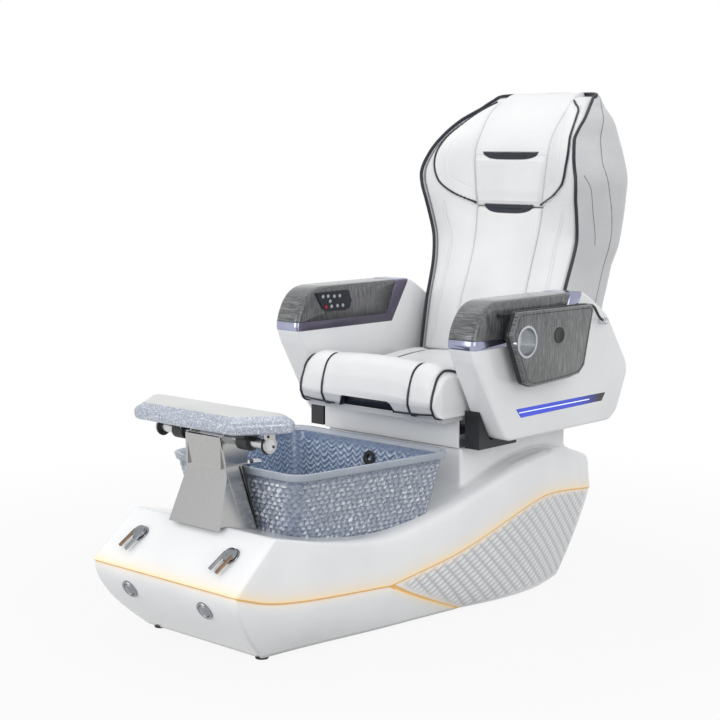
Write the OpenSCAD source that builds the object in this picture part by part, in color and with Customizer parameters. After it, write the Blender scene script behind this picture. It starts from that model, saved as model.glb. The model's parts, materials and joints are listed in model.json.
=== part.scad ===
// Pedicure spa chair: a boat-shaped base with a foot bowl and a footrest,
// and a reclining massage seat that slides on rails.
// Lengths along Y are counted from the nose of the base; placed() centres them.

/* [Base hull] */
// Half width of the hull at the nose
nose_half_w = 283; // [270:1:295]
// Half width of the hull at its widest, beside the seat
beam_half_w = 345; // [335:1:360]
// Half width of the hull at the tail
tail_half_w = 287; // [275:1:300]
// Length of the hull from nose to tail
hull_l = 1508; // [1490:1:1530]
// Height of the light line at the nose
nose_z = 206; // [196:1:216]
// Distance from the nose to the fork of the light line
fork_y = 550; // [520:1:580]
// Height of the light line at the fork
fork_z = 132; // [122:1:142]
// Gap between the hull's bottom edge and the floor
floor_gap = 10; // [8:1:14]
// Thickness of the moulded hull skins
skin = 6; // [5:0.5:7]
// Distance from the nose to the top edge of the sloped front panel
panel_y = 143; // [135:1:150]
// Height of the top edge of the sloped front panel
panel_z = 330; // [324:1:336]
// Width of the seam that holds the light strip
seam_w = 6; // [5:0.5:8]

/* [Seat platform] */
// Height of the platform that carries the seat rails
platform_z = 455; // [450:1:458]
// Half width of the platform at its top
platform_half_w = 262; // [255:1:268]
// Distance from the nose to the front of the platform
platform_front_y = 887; // [883:1:892]
// Distance from the nose to the back of the platform
platform_rear_y = 1385; // [1375:1:1395]

/* [Foot bowl] */
// Half width of the bowl's rim at the front
rim_front_half_w = 262; // [254:1:266]
// Half width of the bowl's rim at the back
rim_rear_half_w = 312; // [304:1:316]
// Distance from the nose to the front of the rim
rim_front_y = 241; // [236:1:248]
// Distance from the nose to the back of the rim
rim_rear_y = 802; // [794:1:806]
// Height of the rim
rim_z = 470; // [464:1:473]
// Height of the underside of the bowl
bowl_floor_z = 200; // [190:1:215]
// Thickness of the bowl's wall
bowl_wall = 14; // [10:1:18]

/* [Footrest] */
// Distance from the nose to the tilt axis of the footrest
rest_y = 190; // [186:1:196]
// Height of the tilt axis of the footrest
rest_z = 553; // [548:1:556]
// Radius of the footrest's crossbar
rest_bar_r = 14; // [12:1:16]
// Half width of the pad at its front edge
pad_front_half_w = 190; // [180:1:200]
// Half width of the pad at its widest
pad_half_w = 275; // [262:1:285]
// Depth of the pad from front to back
pad_depth = 152; // [145:1:158]
// Thickness of the pad at its front edge
pad_edge_t = 32; // [28:1:36]

/* [Seat] */
// Half width of the seat cushion
seat_half_w = 275; // [265:1:280]
// Distance from the nose to the front of the seat cushion
seat_front_y = 765; // [755:1:775]
// Distance from the nose to the back of the seat cushion
seat_rear_y = 1278; // [1268:1:1284]
// Height of the underside of the seat cushion
seat_bottom_z = 550; // [546:1:554]
// Height of the seat cushion's front crown
seat_top_z = 698; // [685:1:705]

/* [Armrests] */
// Half width between the armrests' inner faces
arm_inner_x = 288; // [286:1:292]
// Thickness of an armrest
arm_w = 100; // [92:1:108]
// Height of the armrest's top
arm_top_z = 881; // [876:1:892]
// Height of the underside of the armrests
arm_bottom_z = 482; // [480:1:486]
// Height of the band under the wood-grain top
band_z = 751; // [741:1:761]
// Height of the band where it runs along the armrest
band_h = 26; // [20:1:30]

/* [Trays] */
// Thickness of a tray
tray_t = 30; // [26:1:34]
// Radius of the hinge rod that carries a tray
tray_rod_r = 4; // [3.5:0.5:5]
// Radius of the cup holder's opening
cup_r = 40; // [36:1:41]
// Depth of the cup holder
cup_d = 26; // [22:1:27]

/* [Backrest] */
// Lean of the backrest from upright
back_lean = 11.8; // [11:0.1:12.5]
// Distance from the nose to the recline axis
recline_y = 1330; // [1324:1:1336]
// Height of the recline axis
recline_z = 560; // [554:1:566]
// Radius of the recline shaft
recline_r = 8; // [7:0.5:9]
// Height of the backrest's top
back_top_z = 1466; // [1460:1:1474]
// Distance from the nose to the rearmost point of the backrest
back_rear_y = 1716; // [1706:1:1724]

/* [Fits] */
// Gap between pieces that stand free of each other
gap = 0.3; // [0.2:0.05:0.5]
// Radial clearance of a shaft or pin in its bore
run_fit = 0.05; // [0.03:0.01:0.08]

/* [Hidden] */
$fn = 48;

// Cubic curve through keys [[s, value], ...], with the slopes of its neighbours
function key_slope(k, i) =
    let (lo = max(0, i - 1), hi = min(len(k) - 1, i + 1))
    (k[hi][1] - k[lo][1]) / (k[hi][0] - k[lo][0]);
function key_span(k, s, i = 0) =
    (i >= len(k) - 2 || s <= k[i + 1][0]) ? i : key_span(k, s, i + 1);
function along(k, s) =
    let (i = key_span(k, s), h = k[i + 1][0] - k[i][0], t = (s - k[i][0]) / h,
        rise = key_slope(k, i) * h, fall = key_slope(k, i + 1) * h)
    k[i][1] * (2 * t^3 - 3 * t^2 + 1) + rise * (t^3 - 2 * t^2 + t)
    + k[i + 1][1] * (3 * t^2 - 2 * t^3) + fall * (t^3 - t^2);
function mix(a, b, t) = a + (b - a) * t;
// A point of a rounded box outline of half sizes w and h
function round_pt(w, h, a, p) =
    [w * sign(cos(a)) * abs(cos(a))^(2 / p), h * sign(sin(a)) * abs(sin(a))^(2 / p)];

// Closed skin over a list of rings that have the same number of points
module loft(rings) {
    n = len(rings[0]);
    m = len(rings);
    points = [for (ring = rings) each ring];
    sides = [for (j = [0 : m - 2], i = [0 : n - 1])
        let (k = (i + 1) % n, up = (j + 1) * n)
        each [[j * n + i, up + k, j * n + k], [j * n + i, up + i, up + k]]];
    ends = [for (i = [0 : n / 2 - 1], low = [true, false])
        let (s = low ? 0 : (m - 1) * n, quad = [i, i + 1, n - 2 - i, n - 1 - i])
        each [for (f = [[0, 1, 3], [1, 2, 3]]) if (quad[f[0]] < quad[f[1]] && quad[f[1]] < quad[f[2]])
            [for (v = low ? f : [f[2], f[1], f[0]]) s + quad[v]]]];
    faces = concat(sides, ends);
    volume = [for (f = faces) points[f[0]] * cross(points[f[1]], points[f[2]])] * [for (f = faces) 1];
    polyhedron(points, volume > 0 ? [for (f = faces) [f[2], f[1], f[0]]] : faces);
}
module placed() { translate([0, -back_rear_y / 2, 0]) children(); }
module both_sides() { children(); mirror([1, 0, 0]) children(); }
// Slab with a side outline of [y, z] points between two x positions
module slab(x0, x1, outline) {
    translate([x0, 0, 0]) rotate([90, 0, 90]) linear_extrude(x1 - x0) polygon(outline);
}
module rod_x(x0, x1, y, z, r) { translate([x0, y, z]) rotate([0, 90, 0]) cylinder(x1 - x0, r = r); }
module rod_y(x, y0, y1, z, r) { translate([x, y0, z]) rotate([-90, 0, 0]) cylinder(y1 - y0, r = r); }
module box(low, high) { translate(low) cube(high - low); }

// ---- hull lines ----
beam_y = 1090;
bottom_tuck = 26;
nose_rake = 125;
panel_low_z = nose_z + seam_w / 2;
panel_slope = atan((panel_z - panel_low_z) / panel_y);
shoulder_in = 12;
width_keys = [[0, nose_half_w], [fork_y, mix(nose_half_w, beam_half_w, 0.33)],
    [beam_y, beam_half_w], [hull_l - 30, tail_half_w]];
light_front = [[0, nose_z], [110, nose_z - 34], [250, fork_z + 20], [fork_y, fork_z]];
light_rear = [[fork_y, fork_z], [800, fork_z + 47], [beam_y, fork_z + 134],
    [1220, fork_z + 150], [hull_l, fork_z + 117]];
shoulder_keys = [[panel_y, panel_z], [340, 287], [540, 268], [745, 301], [900, 346],
    [1070, 394], [1220, 411], [1354, 397], [hull_l, 350]];
function half_w(y) = along(width_keys, max(0, min(y, hull_l)));
function light_z(y) = y < fork_y ? along(light_front, max(0, y)) : along(light_rear, min(y, hull_l));
function shoulder_z(y) = along(shoulder_keys, max(panel_y, min(y, hull_l)));

// Right half of the hull's light line as [x, y, inward x, inward y]
nose_r = 14;
tail_r = 34;
corner_steps = 4;
nose_line = [[0, 0, 0, 1], for (i = [0 : corner_steps]) let (a = 90 * i / corner_steps)
    [nose_half_w - nose_r + nose_r * sin(a), nose_r - nose_r * cos(a), -sin(a), cos(a)]];
function side_line(y0, y1, n) = [for (i = [1 : n]) let (y = mix(y0, y1, i / n)) [half_w(y), y, -1, 0]];
tail_line = [for (i = [1 : corner_steps]) let (a = 90 * i / corner_steps)
    [tail_half_w - tail_r + tail_r * cos(a), hull_l - tail_r + tail_r * sin(a), -cos(a), -sin(a)],
    [0, hull_l, 0, -1]];
hull_line = concat(nose_line, side_line(nose_r, fork_y, 8),
    side_line(fork_y, hull_l - tail_r, 12), tail_line);

// Point of the lower hull: s runs from the nose corner to the fork, t from the light line down
lower_reach = 830;
function lower_y(y, t) =
    mix(y, mix(nose_rake, lower_reach, min(1, y / fork_y)), t^1.15);
function lower_pt(p, t, inset) =
    let (y = lower_y(p[1], t), wide = p[0] / half_w(p[1]))
    [half_w(y) * wide - bottom_tuck * wide * t^2 + p[2] * inset, y + p[3] * inset,
        mix(light_z(p[1]) - seam_w / 2, floor_gap, t)];
lower_steps = 6;
fork_edge = [half_w(fork_y - seam_w), fork_y - seam_w, -1, 0];
module lower_hull() color("white") placed() both_sides() difference() {
    loft([for (p = concat(nose_line,
            [for (q = side_line(nose_r, fork_y, 8)) q[1] < fork_y ? q : fork_edge])) concat(
        [for (j = [0 : lower_steps]) lower_pt(p, j / lower_steps, 0)],
        [for (j = [lower_steps : -1 : 0]) lower_pt(p, j / lower_steps, skin)])]);
    on_hull() translate([0, 0, -20]) cylinder(40, r = air_r + gap);
}

// Textured side panel behind the fork: its edges slant from the light line to the floor
panel_rear_y = 1312;
function side_pt(s, t, inset) =
    let (top = max(fork_y + 2 * seam_w, mix(fork_y, hull_l - tail_r, s)),
        foot = mix(lower_reach + seam_w, panel_rear_y, s),
        y = mix(top, foot, t^1.15))
    [half_w(y) - bottom_tuck * (1 - 0.7 * sin(180 * s)) * t^2 - inset, y,
        mix(light_z(top) - seam_w / 2, floor_gap, t)];
module side_panels() color("gainsboro") placed() both_sides() loft([
    for (i = [0 : 12]) concat(
        [for (j = [0 : lower_steps]) side_pt(i / 12, j / lower_steps, 0)],
        [for (j = [lower_steps : -1 : 0]) side_pt(i / 12, j / lower_steps, skin)])]);

tail_light_z = light_z(hull_l);
module rear_panel() color("white") placed()
    loft([for (e = [[tail_light_z - seam_w / 2, hull_l - 2, tail_half_w - tail_r],
            [floor_gap, panel_rear_y + 4, 284]])
        [[-e[2], e[1] - skin, e[0]], [e[2], e[1] - skin, e[0]], [e[2], e[1], e[0]], [-e[2], e[1], e[0]]]]);

// Upper shell: light line up to the shoulder, the deck, and the seat platform
function shell_pt(p, up, inset) =
    let (top_y = panel_y + (hull_l - panel_y) * p[1] / hull_l, wide = p[0] / half_w(p[1]),
        y = mix(p[1], top_y, up))
    [mix(p[0], (half_w(top_y) - shoulder_in) * wide, up) + p[2] * inset, y + p[3] * inset,
        mix(light_z(p[1]) + seam_w / 2, shoulder_z(top_y), up) - (up == 1 ? inset : 0)];
deck_steps = 16;
module platform_block(inset) {
    draft = 10;
    low = shoulder_z(platform_front_y) - 60;
    loft([for (e = [[low, draft], [platform_z - inset, 0]])
        let (w = platform_half_w + e[1] - inset, y0 = platform_front_y - e[1] / 2 + inset,
            y1 = platform_rear_y + 2 * e[1] - inset)
        [[-w, y0, e[0]], [w, y0, e[0]], [w, y1, e[0]], [-w, y1, e[0]]]]);
}
module upper_shell() color("white") placed() difference() {
    union() {
        both_sides() loft([for (p = hull_line)
            [shell_pt(p, 0, 0), shell_pt(p, 0.5, 0), shell_pt(p, 1, 0),
                shell_pt(p, 1, skin), shell_pt(p, 0.5, skin), shell_pt(p, 0, skin)]]);
        loft([for (i = [0 : deck_steps])
            let (y = mix(panel_y + 2, hull_l - 3, i / deck_steps), w = half_w(y) - shoulder_in - 2,
                z = shoulder_z(y) - 0.5)
            [[-w, y, z], [w, y, z], [w, y, z - skin], [-w, y, z - skin]]]);
        difference() {
            platform_block(0);
            loft([for (i = [0 : deck_steps])
                let (y = mix(platform_front_y - 40, hull_l - 3, i / deck_steps), z = shoulder_z(y) - skin)
                [[-400, y, z], [400, y, z], [400, y, z - 200], [-400, y, z - 200]]]);
        }
    }
    platform_block(skin);
    bowl_body(1);
    both_sides() on_panel() translate([0, 0, -40]) cylinder(60, r = valve_stem_r + gap);
    translate([jet_at[0], deck_hose_y, shoulder_z(deck_hose_y) - 30]) cylinder(60, r = hose_r + 3);
}

// Light strip in the seam, with a branch down each side
strip_h = seam_w - 4 * gap;
strip_d = 10;
function strip_ring(p) = [for (q = [[-1, -1], [strip_d, -1], [strip_d, 1], [-1, 1]])
    [p[0] + p[2] * q[0], p[1] + p[3] * q[0], light_z(p[1]) + q[1] * strip_h / 2]];
module light_strip() color("moccasin") placed() both_sides() {
    loft([for (p = hull_line) strip_ring(p)]);
    loft([for (j = [0 : lower_steps]) let (t = j / lower_steps,
            a = lower_pt([half_w(fork_y), fork_y - seam_w, -1, 0], t, 0), lift = 0.8)
        [[a[0] + 1, a[1] + lift, a[2]], [a[0] - strip_d, a[1] + lift, a[2]],
            [a[0] - strip_d, a[1] + seam_w, a[2] + 1], [a[0] + 1, a[1] + seam_w, a[2] + 1]]]);
}

// ---- frame and feet ----
frame_z = 12;
frame_x = 200;
tube = 30;
foot_y = [165, 760, 1285];
post_y = [925, 1285];
bowl_post_y = [390, 690];
bowl_post_x = 110;
module base_frame() color("dimgray") placed() {
    both_sides() {
        box([frame_x - tube / 2, 150, frame_z], [frame_x + tube / 2, 1300, frame_z + tube]);
        for (y = post_y)
            box([frame_x - tube / 2, y - tube / 2, frame_z + tube],
                [frame_x + tube / 2, y + tube / 2, platform_z - skin]);
        for (y = bowl_post_y)
            box([bowl_post_x - tube / 2, y - tube / 2, frame_z + tube],
                [bowl_post_x + tube / 2, y + tube / 2, bowl_floor_z]);
    }
    for (y = concat(foot_y, bowl_post_y))
        box([-frame_x, y - tube / 2, frame_z], [frame_x, y + tube / 2, frame_z + tube]);
}
module leveling_feet() color("black") placed() both_sides() for (y = foot_y) translate([frame_x, y, 0]) {
    cylinder(6, r1 = 17, r2 = 19);
    translate([0, 0, 6]) cylinder(frame_z - 6, r = 6);
}

// ---- bowl ----
bowl_lip = 8;
lip_h = 26;
arc_steps = 5;
bowl_draft = 0.3;
rear_draft = 0.2;
side_angle = atan((rim_rear_half_w - rim_front_half_w) / (rim_rear_y - rim_front_y));
function arc(cx, cy, r, a0, a1, z) = [for (i = [0 : arc_steps]) let (a = mix(a0, a1, i / arc_steps))
    [cx + r * cos(a), cy + r * sin(a), z]];
// Outline of the bowl at height z, drawn in by an inset
function bowl_ring(z, inset) =
    let (tuck = (rim_z - z) * bowl_draft + inset, rf = max(6, 60 - inset), rr = max(6, 56 - inset),
        wf = rim_front_half_w - tuck, wr = rim_rear_half_w - (rim_z - z) * rear_draft - inset,
        y0 = rim_front_y + tuck, y1 = rim_rear_y - (rim_z - z) * rear_draft - inset)
    concat(arc(wf - rf, y0 + rf, rf, 270, 360 - side_angle, z),
        arc(wr - rr, y1 - rr, rr, -side_angle, 90, z),
        arc(rr - wr, y1 - rr, rr, 90, 180 + side_angle, z),
        arc(rf - wf, y0 + rf, rf, 180 + side_angle, 270, z));
module bowl_body(grow) {
    loft([bowl_ring(bowl_floor_z - grow, 30 - grow), bowl_ring(bowl_floor_z + 14, bowl_lip - grow),
        bowl_ring(rim_z - lip_h, bowl_lip - grow), bowl_ring(rim_z + grow, bowl_lip - grow)]);
}
module bowl() color("lightsteelblue", 0.7) placed() difference() {
    union() {
        bowl_body(0);
        loft([bowl_ring(rim_z - lip_h - 6, bowl_lip), bowl_ring(rim_z - lip_h, 0),
            bowl_ring(rim_z - 4, 0), bowl_ring(rim_z, 3)]);
    }
    loft([bowl_ring(bowl_floor_z + bowl_wall, 46),
        bowl_ring(bowl_floor_z + bowl_wall + 16, bowl_lip + bowl_wall),
        bowl_ring(rim_z - 12, bowl_lip + bowl_wall), bowl_ring(rim_z + 1, bowl_lip + bowl_wall - 5)]);
    translate([0, drain_y, bowl_floor_z - 1]) cylinder(bowl_wall + 2, r = drain_r + gap);
    on_rear_wall() translate([0, 0, -10]) cylinder(jet_l, r = jet_r + gap);
}
drain_y = 470;
drain_r = 24;
jet_r = 15;
// The jet stands square to the leaning rear wall
jet_z = 412;
jet_at = [19, rim_rear_y - (rim_z - jet_z) * rear_draft - bowl_lip - bowl_wall, jet_z];
jet_l = 40;
module on_rear_wall() { translate(jet_at) rotate([-90 - atan(rear_draft), 0, 0]) children(); }
// A flanged tube with a wide mouth, through the rear wall
module jet_nozzles() color("silver") placed() on_rear_wall() difference() {
    union() {
        translate([0, 0, -4 - gap]) cylinder(4, r = jet_r + 6);
        translate([0, 0, -gap]) cylinder(jet_l, r = jet_r);
    }
    translate([0, 0, -6]) cylinder(jet_l + 10, r = 8);
    translate([0, 0, -6]) cylinder(5, r1 = 12, r2 = 8);
}
drain_depth = 40;
stopper_travel = 10;
module at_drain() { translate([0, drain_y, bowl_floor_z + bowl_wall]) children(); }
module drain_fitting() color("silver") placed() at_drain() difference() {
    union() {
        cylinder(2, r = drain_r + 6);
        translate([0, 0, -drain_depth]) cylinder(drain_depth, r = drain_r);
    }
    translate([0, 0, -2]) cylinder(5, r = drain_r - 3);
    translate([0, 0, -drain_depth + 6]) cylinder(drain_depth, r = drain_r - 6);
    translate([0, 0, -drain_depth - 1]) cylinder(8, r = 4 + run_fit);
}
module drain_stopper() color("lightgray") placed() at_drain() {
    translate([0, 0, -2 + gap]) cylinder(3, r = drain_r - 4);
    translate([0, 0, 1 + gap]) cylinder(4, r1 = drain_r - 4, r2 = 8);
    translate([0, 0, -drain_depth - 6]) cylinder(drain_depth + 5, r = 4);
}

// ---- water and air works under the deck ----
motor_y = 985;
module jet_motor() color("darkslategray") placed() {
    box([-frame_x, motor_y - 40, frame_z + tube], [frame_x, motor_y - 10, frame_z + tube + 10]);
    box([-frame_x, motor_y + 40, frame_z + tube], [frame_x, motor_y + 70, frame_z + tube + 10]);
    rod_y(0, motor_y - 40, motor_y + 80, motor_z, 52);
    rod_y(0, motor_y - 65, motor_y - 40, motor_z, 40);
}
function bend(points, n) = [for (i = [0 : n])
    let (s = i / n * (len(points) - 1), k = min(len(points) - 2, floor(s)),
        f = s - k, before = points[max(0, k - 1)], a = points[k], b = points[k + 1],
        after = points[min(len(points) - 1, k + 2)])
    0.5 * (2 * a + (b - before) * f + (2 * before - 5 * a + 4 * b - after) * f^2
        + (3 * a - before - 3 * b + after) * f^3)];
// Tube of radius r swept along points that run mostly along Y
module hose(points, r, n) {
    line = bend(points, n);
    loft([for (i = [0 : n]) let (d = line[min(n, i + 1)] - line[max(0, i - 1)], f = d / norm(d),
            u = cross(f, [1, 0, 0]) / norm(cross(f, [1, 0, 0])), v = cross(f, u))
        [for (a = [0 : 45 : 315]) line[i] + r * (cos(a) * u + sin(a) * v)]]);
}
valve_x = 178;
valve_y = 83;
valve_at = [valve_x, valve_y, panel_low_z + valve_y * tan(panel_slope)];
valve_tail_y = 140;
valve_tail_z = 140;
hose_r = 9;
module water_hoses() color("slategray") placed() {
    both_sides() hose([[valve_x, valve_tail_y + 2.4, valve_tail_z],
        [valve_x, valve_tail_y + 26, valve_tail_z - 2], [valve_x - 2, 230, 84],
        [valve_x - 18, 620, 66], [valve_x - 30, 1000, 66], [valve_x - 40, 1336, 60]], hose_r, 18);
    hose([[0, drain_y + drain_r + 5 * gap, bowl_floor_z - 13], [10, drain_y + 90, bowl_floor_z - 25],
        [40, 640, 90], [90, 900, 68], [100, 1060, 68], [100, 1336, 60]], 12, 18);
    on_rear_wall() translate([0, 0, jet_l - gap]) cylinder(6, r = hose_r);
    hull() {
        on_rear_wall() translate([0, 0, jet_l + 5]) cylinder(1, r = hose_r);
        translate([jet_at[0], deck_hose_y, jet_z - 30]) cylinder(1, r = hose_r);
    }
    translate([jet_at[0], deck_hose_y, motor_z + 52]) cylinder(jet_z - 29 - motor_z - 52, r = hose_r);
    hull() {
        translate([jet_at[0], deck_hose_y, motor_z + 52]) cylinder(1, r = hose_r);
        rod_y(0, motor_y - 70, motor_y - 65, motor_z, hose_r);
    }
}
deck_hose_y = 846;
motor_z = frame_z + tube + 62;
valve_stem_r = 7;
module on_panel() { translate(valve_at) rotate([panel_slope, 0, 0]) children(); }
module mixing_valve() color("goldenrod") placed() both_sides() {
    on_panel() {
        translate([0, 0, -60]) cylinder(60 - skin - 2, r = 20);
        translate([0, 0, -skin - 3]) cylinder(skin + 3 + 8, r = valve_stem_r);
    }
    box([valve_x - 14, valve_tail_y - 28, valve_tail_z - 20],
        [valve_x + 14, valve_tail_y, valve_tail_z + 100]);
}
plate_r = 30;
plate_t = 4;
air_x = 150;
air_t = 0.3;
air_pt = [air_x, lower_y(0, air_t), mix(nose_z - seam_w / 2, floor_gap, air_t)];
air_lean = atan(1.15 * nose_rake * air_t^0.15 / (nose_z - seam_w / 2 - floor_gap));
air_r = 19;
air_bezel_r = 27;
air_rise = 6;
module on_hull() { translate(air_pt) rotate([90 + air_lean, 0, 0]) children(); }
module front_escutcheons() color("silver") placed() both_sides() {
    on_panel() translate([0, 0, gap]) difference() {
        cylinder(plate_t, r1 = plate_r, r2 = plate_r - 2);
        translate([0, 0, -1]) cylinder(plate_t + 2, r = valve_stem_r + gap);
    }
    on_hull() translate([0, 0, 1]) difference() {
        cylinder(air_rise, r1 = air_bezel_r, r2 = air_bezel_r - 2);
        translate([0, 0, -1]) cylinder(air_rise + 2, r = air_r + gap);
    }
}
// Lever with two prongs that turns about the panel's normal
prong_l = 62;
prong_w = 11;
prong_x = 15;
lever_turn = 12;
module lever(side) translate([(side - 1) * valve_x, 0, 0]) on_panel()
        translate([0, 0, plate_t + 3 * gap]) difference() {
    union() {
        cylinder(9, r = 20);
        rotate([0, 0, -lever_turn]) for (x = [-prong_x, prong_x])
            translate([x - prong_w / 2, -prong_l, 4]) cube([prong_w, prong_l - 6, 5]);
    }
    translate([0, 0, -1]) cylinder(6, r = valve_stem_r + run_fit);
}
module valve_lever_right() color("silver") placed() lever(1);
module valve_lever_left() color("silver") placed() lever(-1);
module air_button() on_hull() translate([0, 0, -1]) cylinder(2 * air_rise, r = air_r);
module air_button_right() color("lightgray") placed() air_button();
module air_button_left() color("lightgray") placed() mirror([1, 0, 0]) air_button();
// Spout that stands on the front of the rim and pours into the bowl
spout_x = 52;
module water_spout() color("silver") placed() translate([spout_x, rim_front_y + 10, rim_z]) difference() {
    union() {
        box([-16, 0, gap], [16, 34, 8]);
        translate([0, 22, 8]) rotate([-100, 0, 0]) cylinder(30, r = 8);
    }
    translate([0, 30, 9.5]) rotate([-100, 0, 0]) cylinder(30, r = 5);
}

// ---- footrest ----
steel = 4;
kink_z = 456;
ledge_z = 480;
// Rows of the bent front plate: [z, y, half width]
plate_rows = [[324, 113, 98], [kink_z, 160, 80], [rest_z + 6, 148, 67]];
function plate_row(z) = let (a = z < kink_z ? 0 : 1)
    mix(plate_rows[a], plate_rows[a + 1],
        (z - plate_rows[a][0]) / (plate_rows[a + 1][0] - plate_rows[a][0]));
neck_x = 66;
neck_rear_y = 246;
side_front = [for (z = [332, kink_z, ledge_z]) [plate_row(z)[1] + steel, z]];
side_rear = [[214, ledge_z], [249, shoulder_z(249) + gap], [200, shoulder_z(200) + gap],
    [panel_y, panel_z + 1]];
module footrest_bracket() color("silver") placed() difference() {
    union() {
        loft([for (r = plate_rows) [[-r[2], r[1], r[0]], [r[2], r[1], r[0]],
            [r[2], r[1] + steel, r[0]], [-r[2], r[1] + steel, r[0]]]]);
        both_sides() {
            loft([for (inset = [2, 2 + steel]) [for (q = concat(side_front, side_rear))
                [plate_row(q[1])[2] - inset, q[0], q[1]]]]);
            box([neck_x - steel, plate_row(rest_z)[1] + 2, ledge_z - steel],
                [neck_x, neck_rear_y, rest_z + 20]);
        }
        box([steel - plate_row(ledge_z)[2], plate_row(ledge_z)[1], ledge_z - steel],
            [plate_row(ledge_z)[2] - steel, neck_rear_y, ledge_z]);
        both_sides() rod_x(neck_x - 12, neck_x, rest_y, rest_z, rest_bar_r + 8);
    }
    rod_x(-100, 100, rest_y, rest_z, rest_bar_r + run_fit);
    box([-neck_x - 1, 150, rest_z + 8], [neck_x + 1, rest_y - rest_bar_r - 12, rest_z + 40]);
    box([-neck_x - 1, rest_y + rest_bar_r + 12, rest_z - 10], [neck_x + 1, 260, rest_z + 40]);
}
bar_end_x = 212;
module footrest_shaft() color("gainsboro") placed() rod_x(-bar_end_x, bar_end_x, rest_y, rest_z, rest_bar_r);
pad_bottom_z = rest_z + 34;
clamp_x = 125;
module footrest_clamps() color("black") placed() both_sides() difference() {
    union() {
        rod_x(clamp_x - 20, clamp_x + 20, rest_y, rest_z, rest_bar_r + 9);
        box([clamp_x - 20, rest_y - 30, rest_z + 12], [clamp_x + 20, rest_y + 30, pad_bottom_z]);
    }
    rod_x(clamp_x - 30, clamp_x + 30, rest_y, rest_z, rest_bar_r);
}
module footrest_end_plates() color("silver") placed() both_sides() difference() {
    union() {
        rod_x(bar_end_x - 8, bar_end_x, rest_y, rest_z, rest_bar_r + 8);
        box([bar_end_x - 8, rest_y - 16, rest_z], [bar_end_x, rest_y + 16, pad_bottom_z]);
    }
    rod_x(bar_end_x - 20, bar_end_x + 20, rest_y, rest_z, rest_bar_r);
}
// Pad: a wide wing with a raised, flat top and bevelled ends
pad_front_y = rest_y - 112;
pad_mid_y = pad_front_y + 0.84 * pad_depth;
pad_outline = [[pad_front_half_w, pad_front_y], [pad_front_half_w + 10, pad_front_y + 6],
    [pad_half_w - 4, pad_mid_y - 8], [pad_half_w, pad_mid_y + 4],
    [pad_half_w - 8, pad_front_y + pad_depth - 6], [pad_half_w - 20, pad_front_y + pad_depth]];
pad_layers = [[0, 14], [6, 2], [pad_edge_t - 8, 0], [pad_edge_t, 6],
    [pad_edge_t + 14, 34], [pad_edge_t + 16, 60]];
pad_centre_y = pad_front_y + pad_depth / 2 + 8;
function pad_pt(q, inset, z) = let (k = 1 - inset / 150)
    [q[0] - inset * 0.7, pad_centre_y + (q[1] - pad_centre_y) * k, z];
module footrest_pad() color("lightsteelblue") placed() loft([for (layer = pad_layers)
    let (right = [for (q = pad_outline) pad_pt(q, layer[1], pad_bottom_z + gap + layer[0])])
    concat(right, [for (i = [len(right) - 1 : -1 : 0]) [-right[i][0], right[i][1], right[i][2]]])]);

// ---- seat slide ----
rail_x = 150;
rail_w = 20;
rail_h = 15;
guide_l = 60;
slide_travel = 60;
stop_l = 18;
apron_t = 4;
apron_y = platform_front_y - 8;
// The rails start behind the apron's rearmost place
rail_front_y = apron_y + slide_travel + 1;
guide_y = rail_front_y + 2 + stop_l + slide_travel;
carriage_z = platform_z + rail_h + gap;
pan_z = 535;
pan_t = 14.7;
arm_bar_y = [1072, 1380];
arm_plate_x = arm_inner_x + 48;
arm_plate_t = 11.4;
arm_plate_top = 690;
hinge_x = 240;
module seat_rails() color("gray") placed() both_sides() {
    box([rail_x, rail_front_y, platform_z], [rail_x + rail_w, 1372, platform_z + rail_h]);
    for (y = [guide_y - slide_travel - gap - stop_l, guide_y + guide_l + slide_travel + gap])
        box([rail_x - 6, y, platform_z], [rail_x, y + stop_l, platform_z + 6]);
}
module seat_carriage() color("dimgray") placed() {
    both_sides() {
        box([rail_x - 4, 910, carriage_z], [rail_x + 26, 1395, carriage_z + 22]);
        for (y = [960, 1240]) box([rail_x - 4, y, carriage_z + 22], [rail_x + 26, y + 30, pan_z]);
        for (x = [rail_x - 4, rail_x + rail_w + gap])
            box([x, guide_y, platform_z + 2], [x + 4 - gap, guide_y + guide_l, carriage_z]);
        for (y = arm_bar_y) box([rail_x + 26, y - 18, carriage_z],
            [arm_plate_x + arm_plate_t / 2, y + 18, arm_bottom_z - gap]);
        box([arm_plate_x - arm_plate_t / 2, arm_bar_y[0] - 18, arm_bottom_z - gap],
            [arm_plate_x + arm_plate_t / 2, arm_bar_y[1] + 18, arm_plate_top]);
        difference() {
            union() {
                slab(hinge_x, hinge_x + 8,
                    [[recline_y - 50, carriage_z + 10], [recline_y + 40, carriage_z + 10],
                        [recline_y + 22, recline_z + 14], [recline_y - 22, recline_z + 14]]);
                box([rail_x + 20, recline_y - 50, carriage_z + 4],
                    [hinge_x + 8, recline_y + 40, carriage_z + 12]);
            }
            rod_x(hinge_x - 5, hinge_x + 15, recline_y, recline_z, recline_r + run_fit);
        }
    }
    for (y = cross_y) box([-rail_x, y, carriage_z], [rail_x, y + 30, carriage_z + 22]);
}
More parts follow.
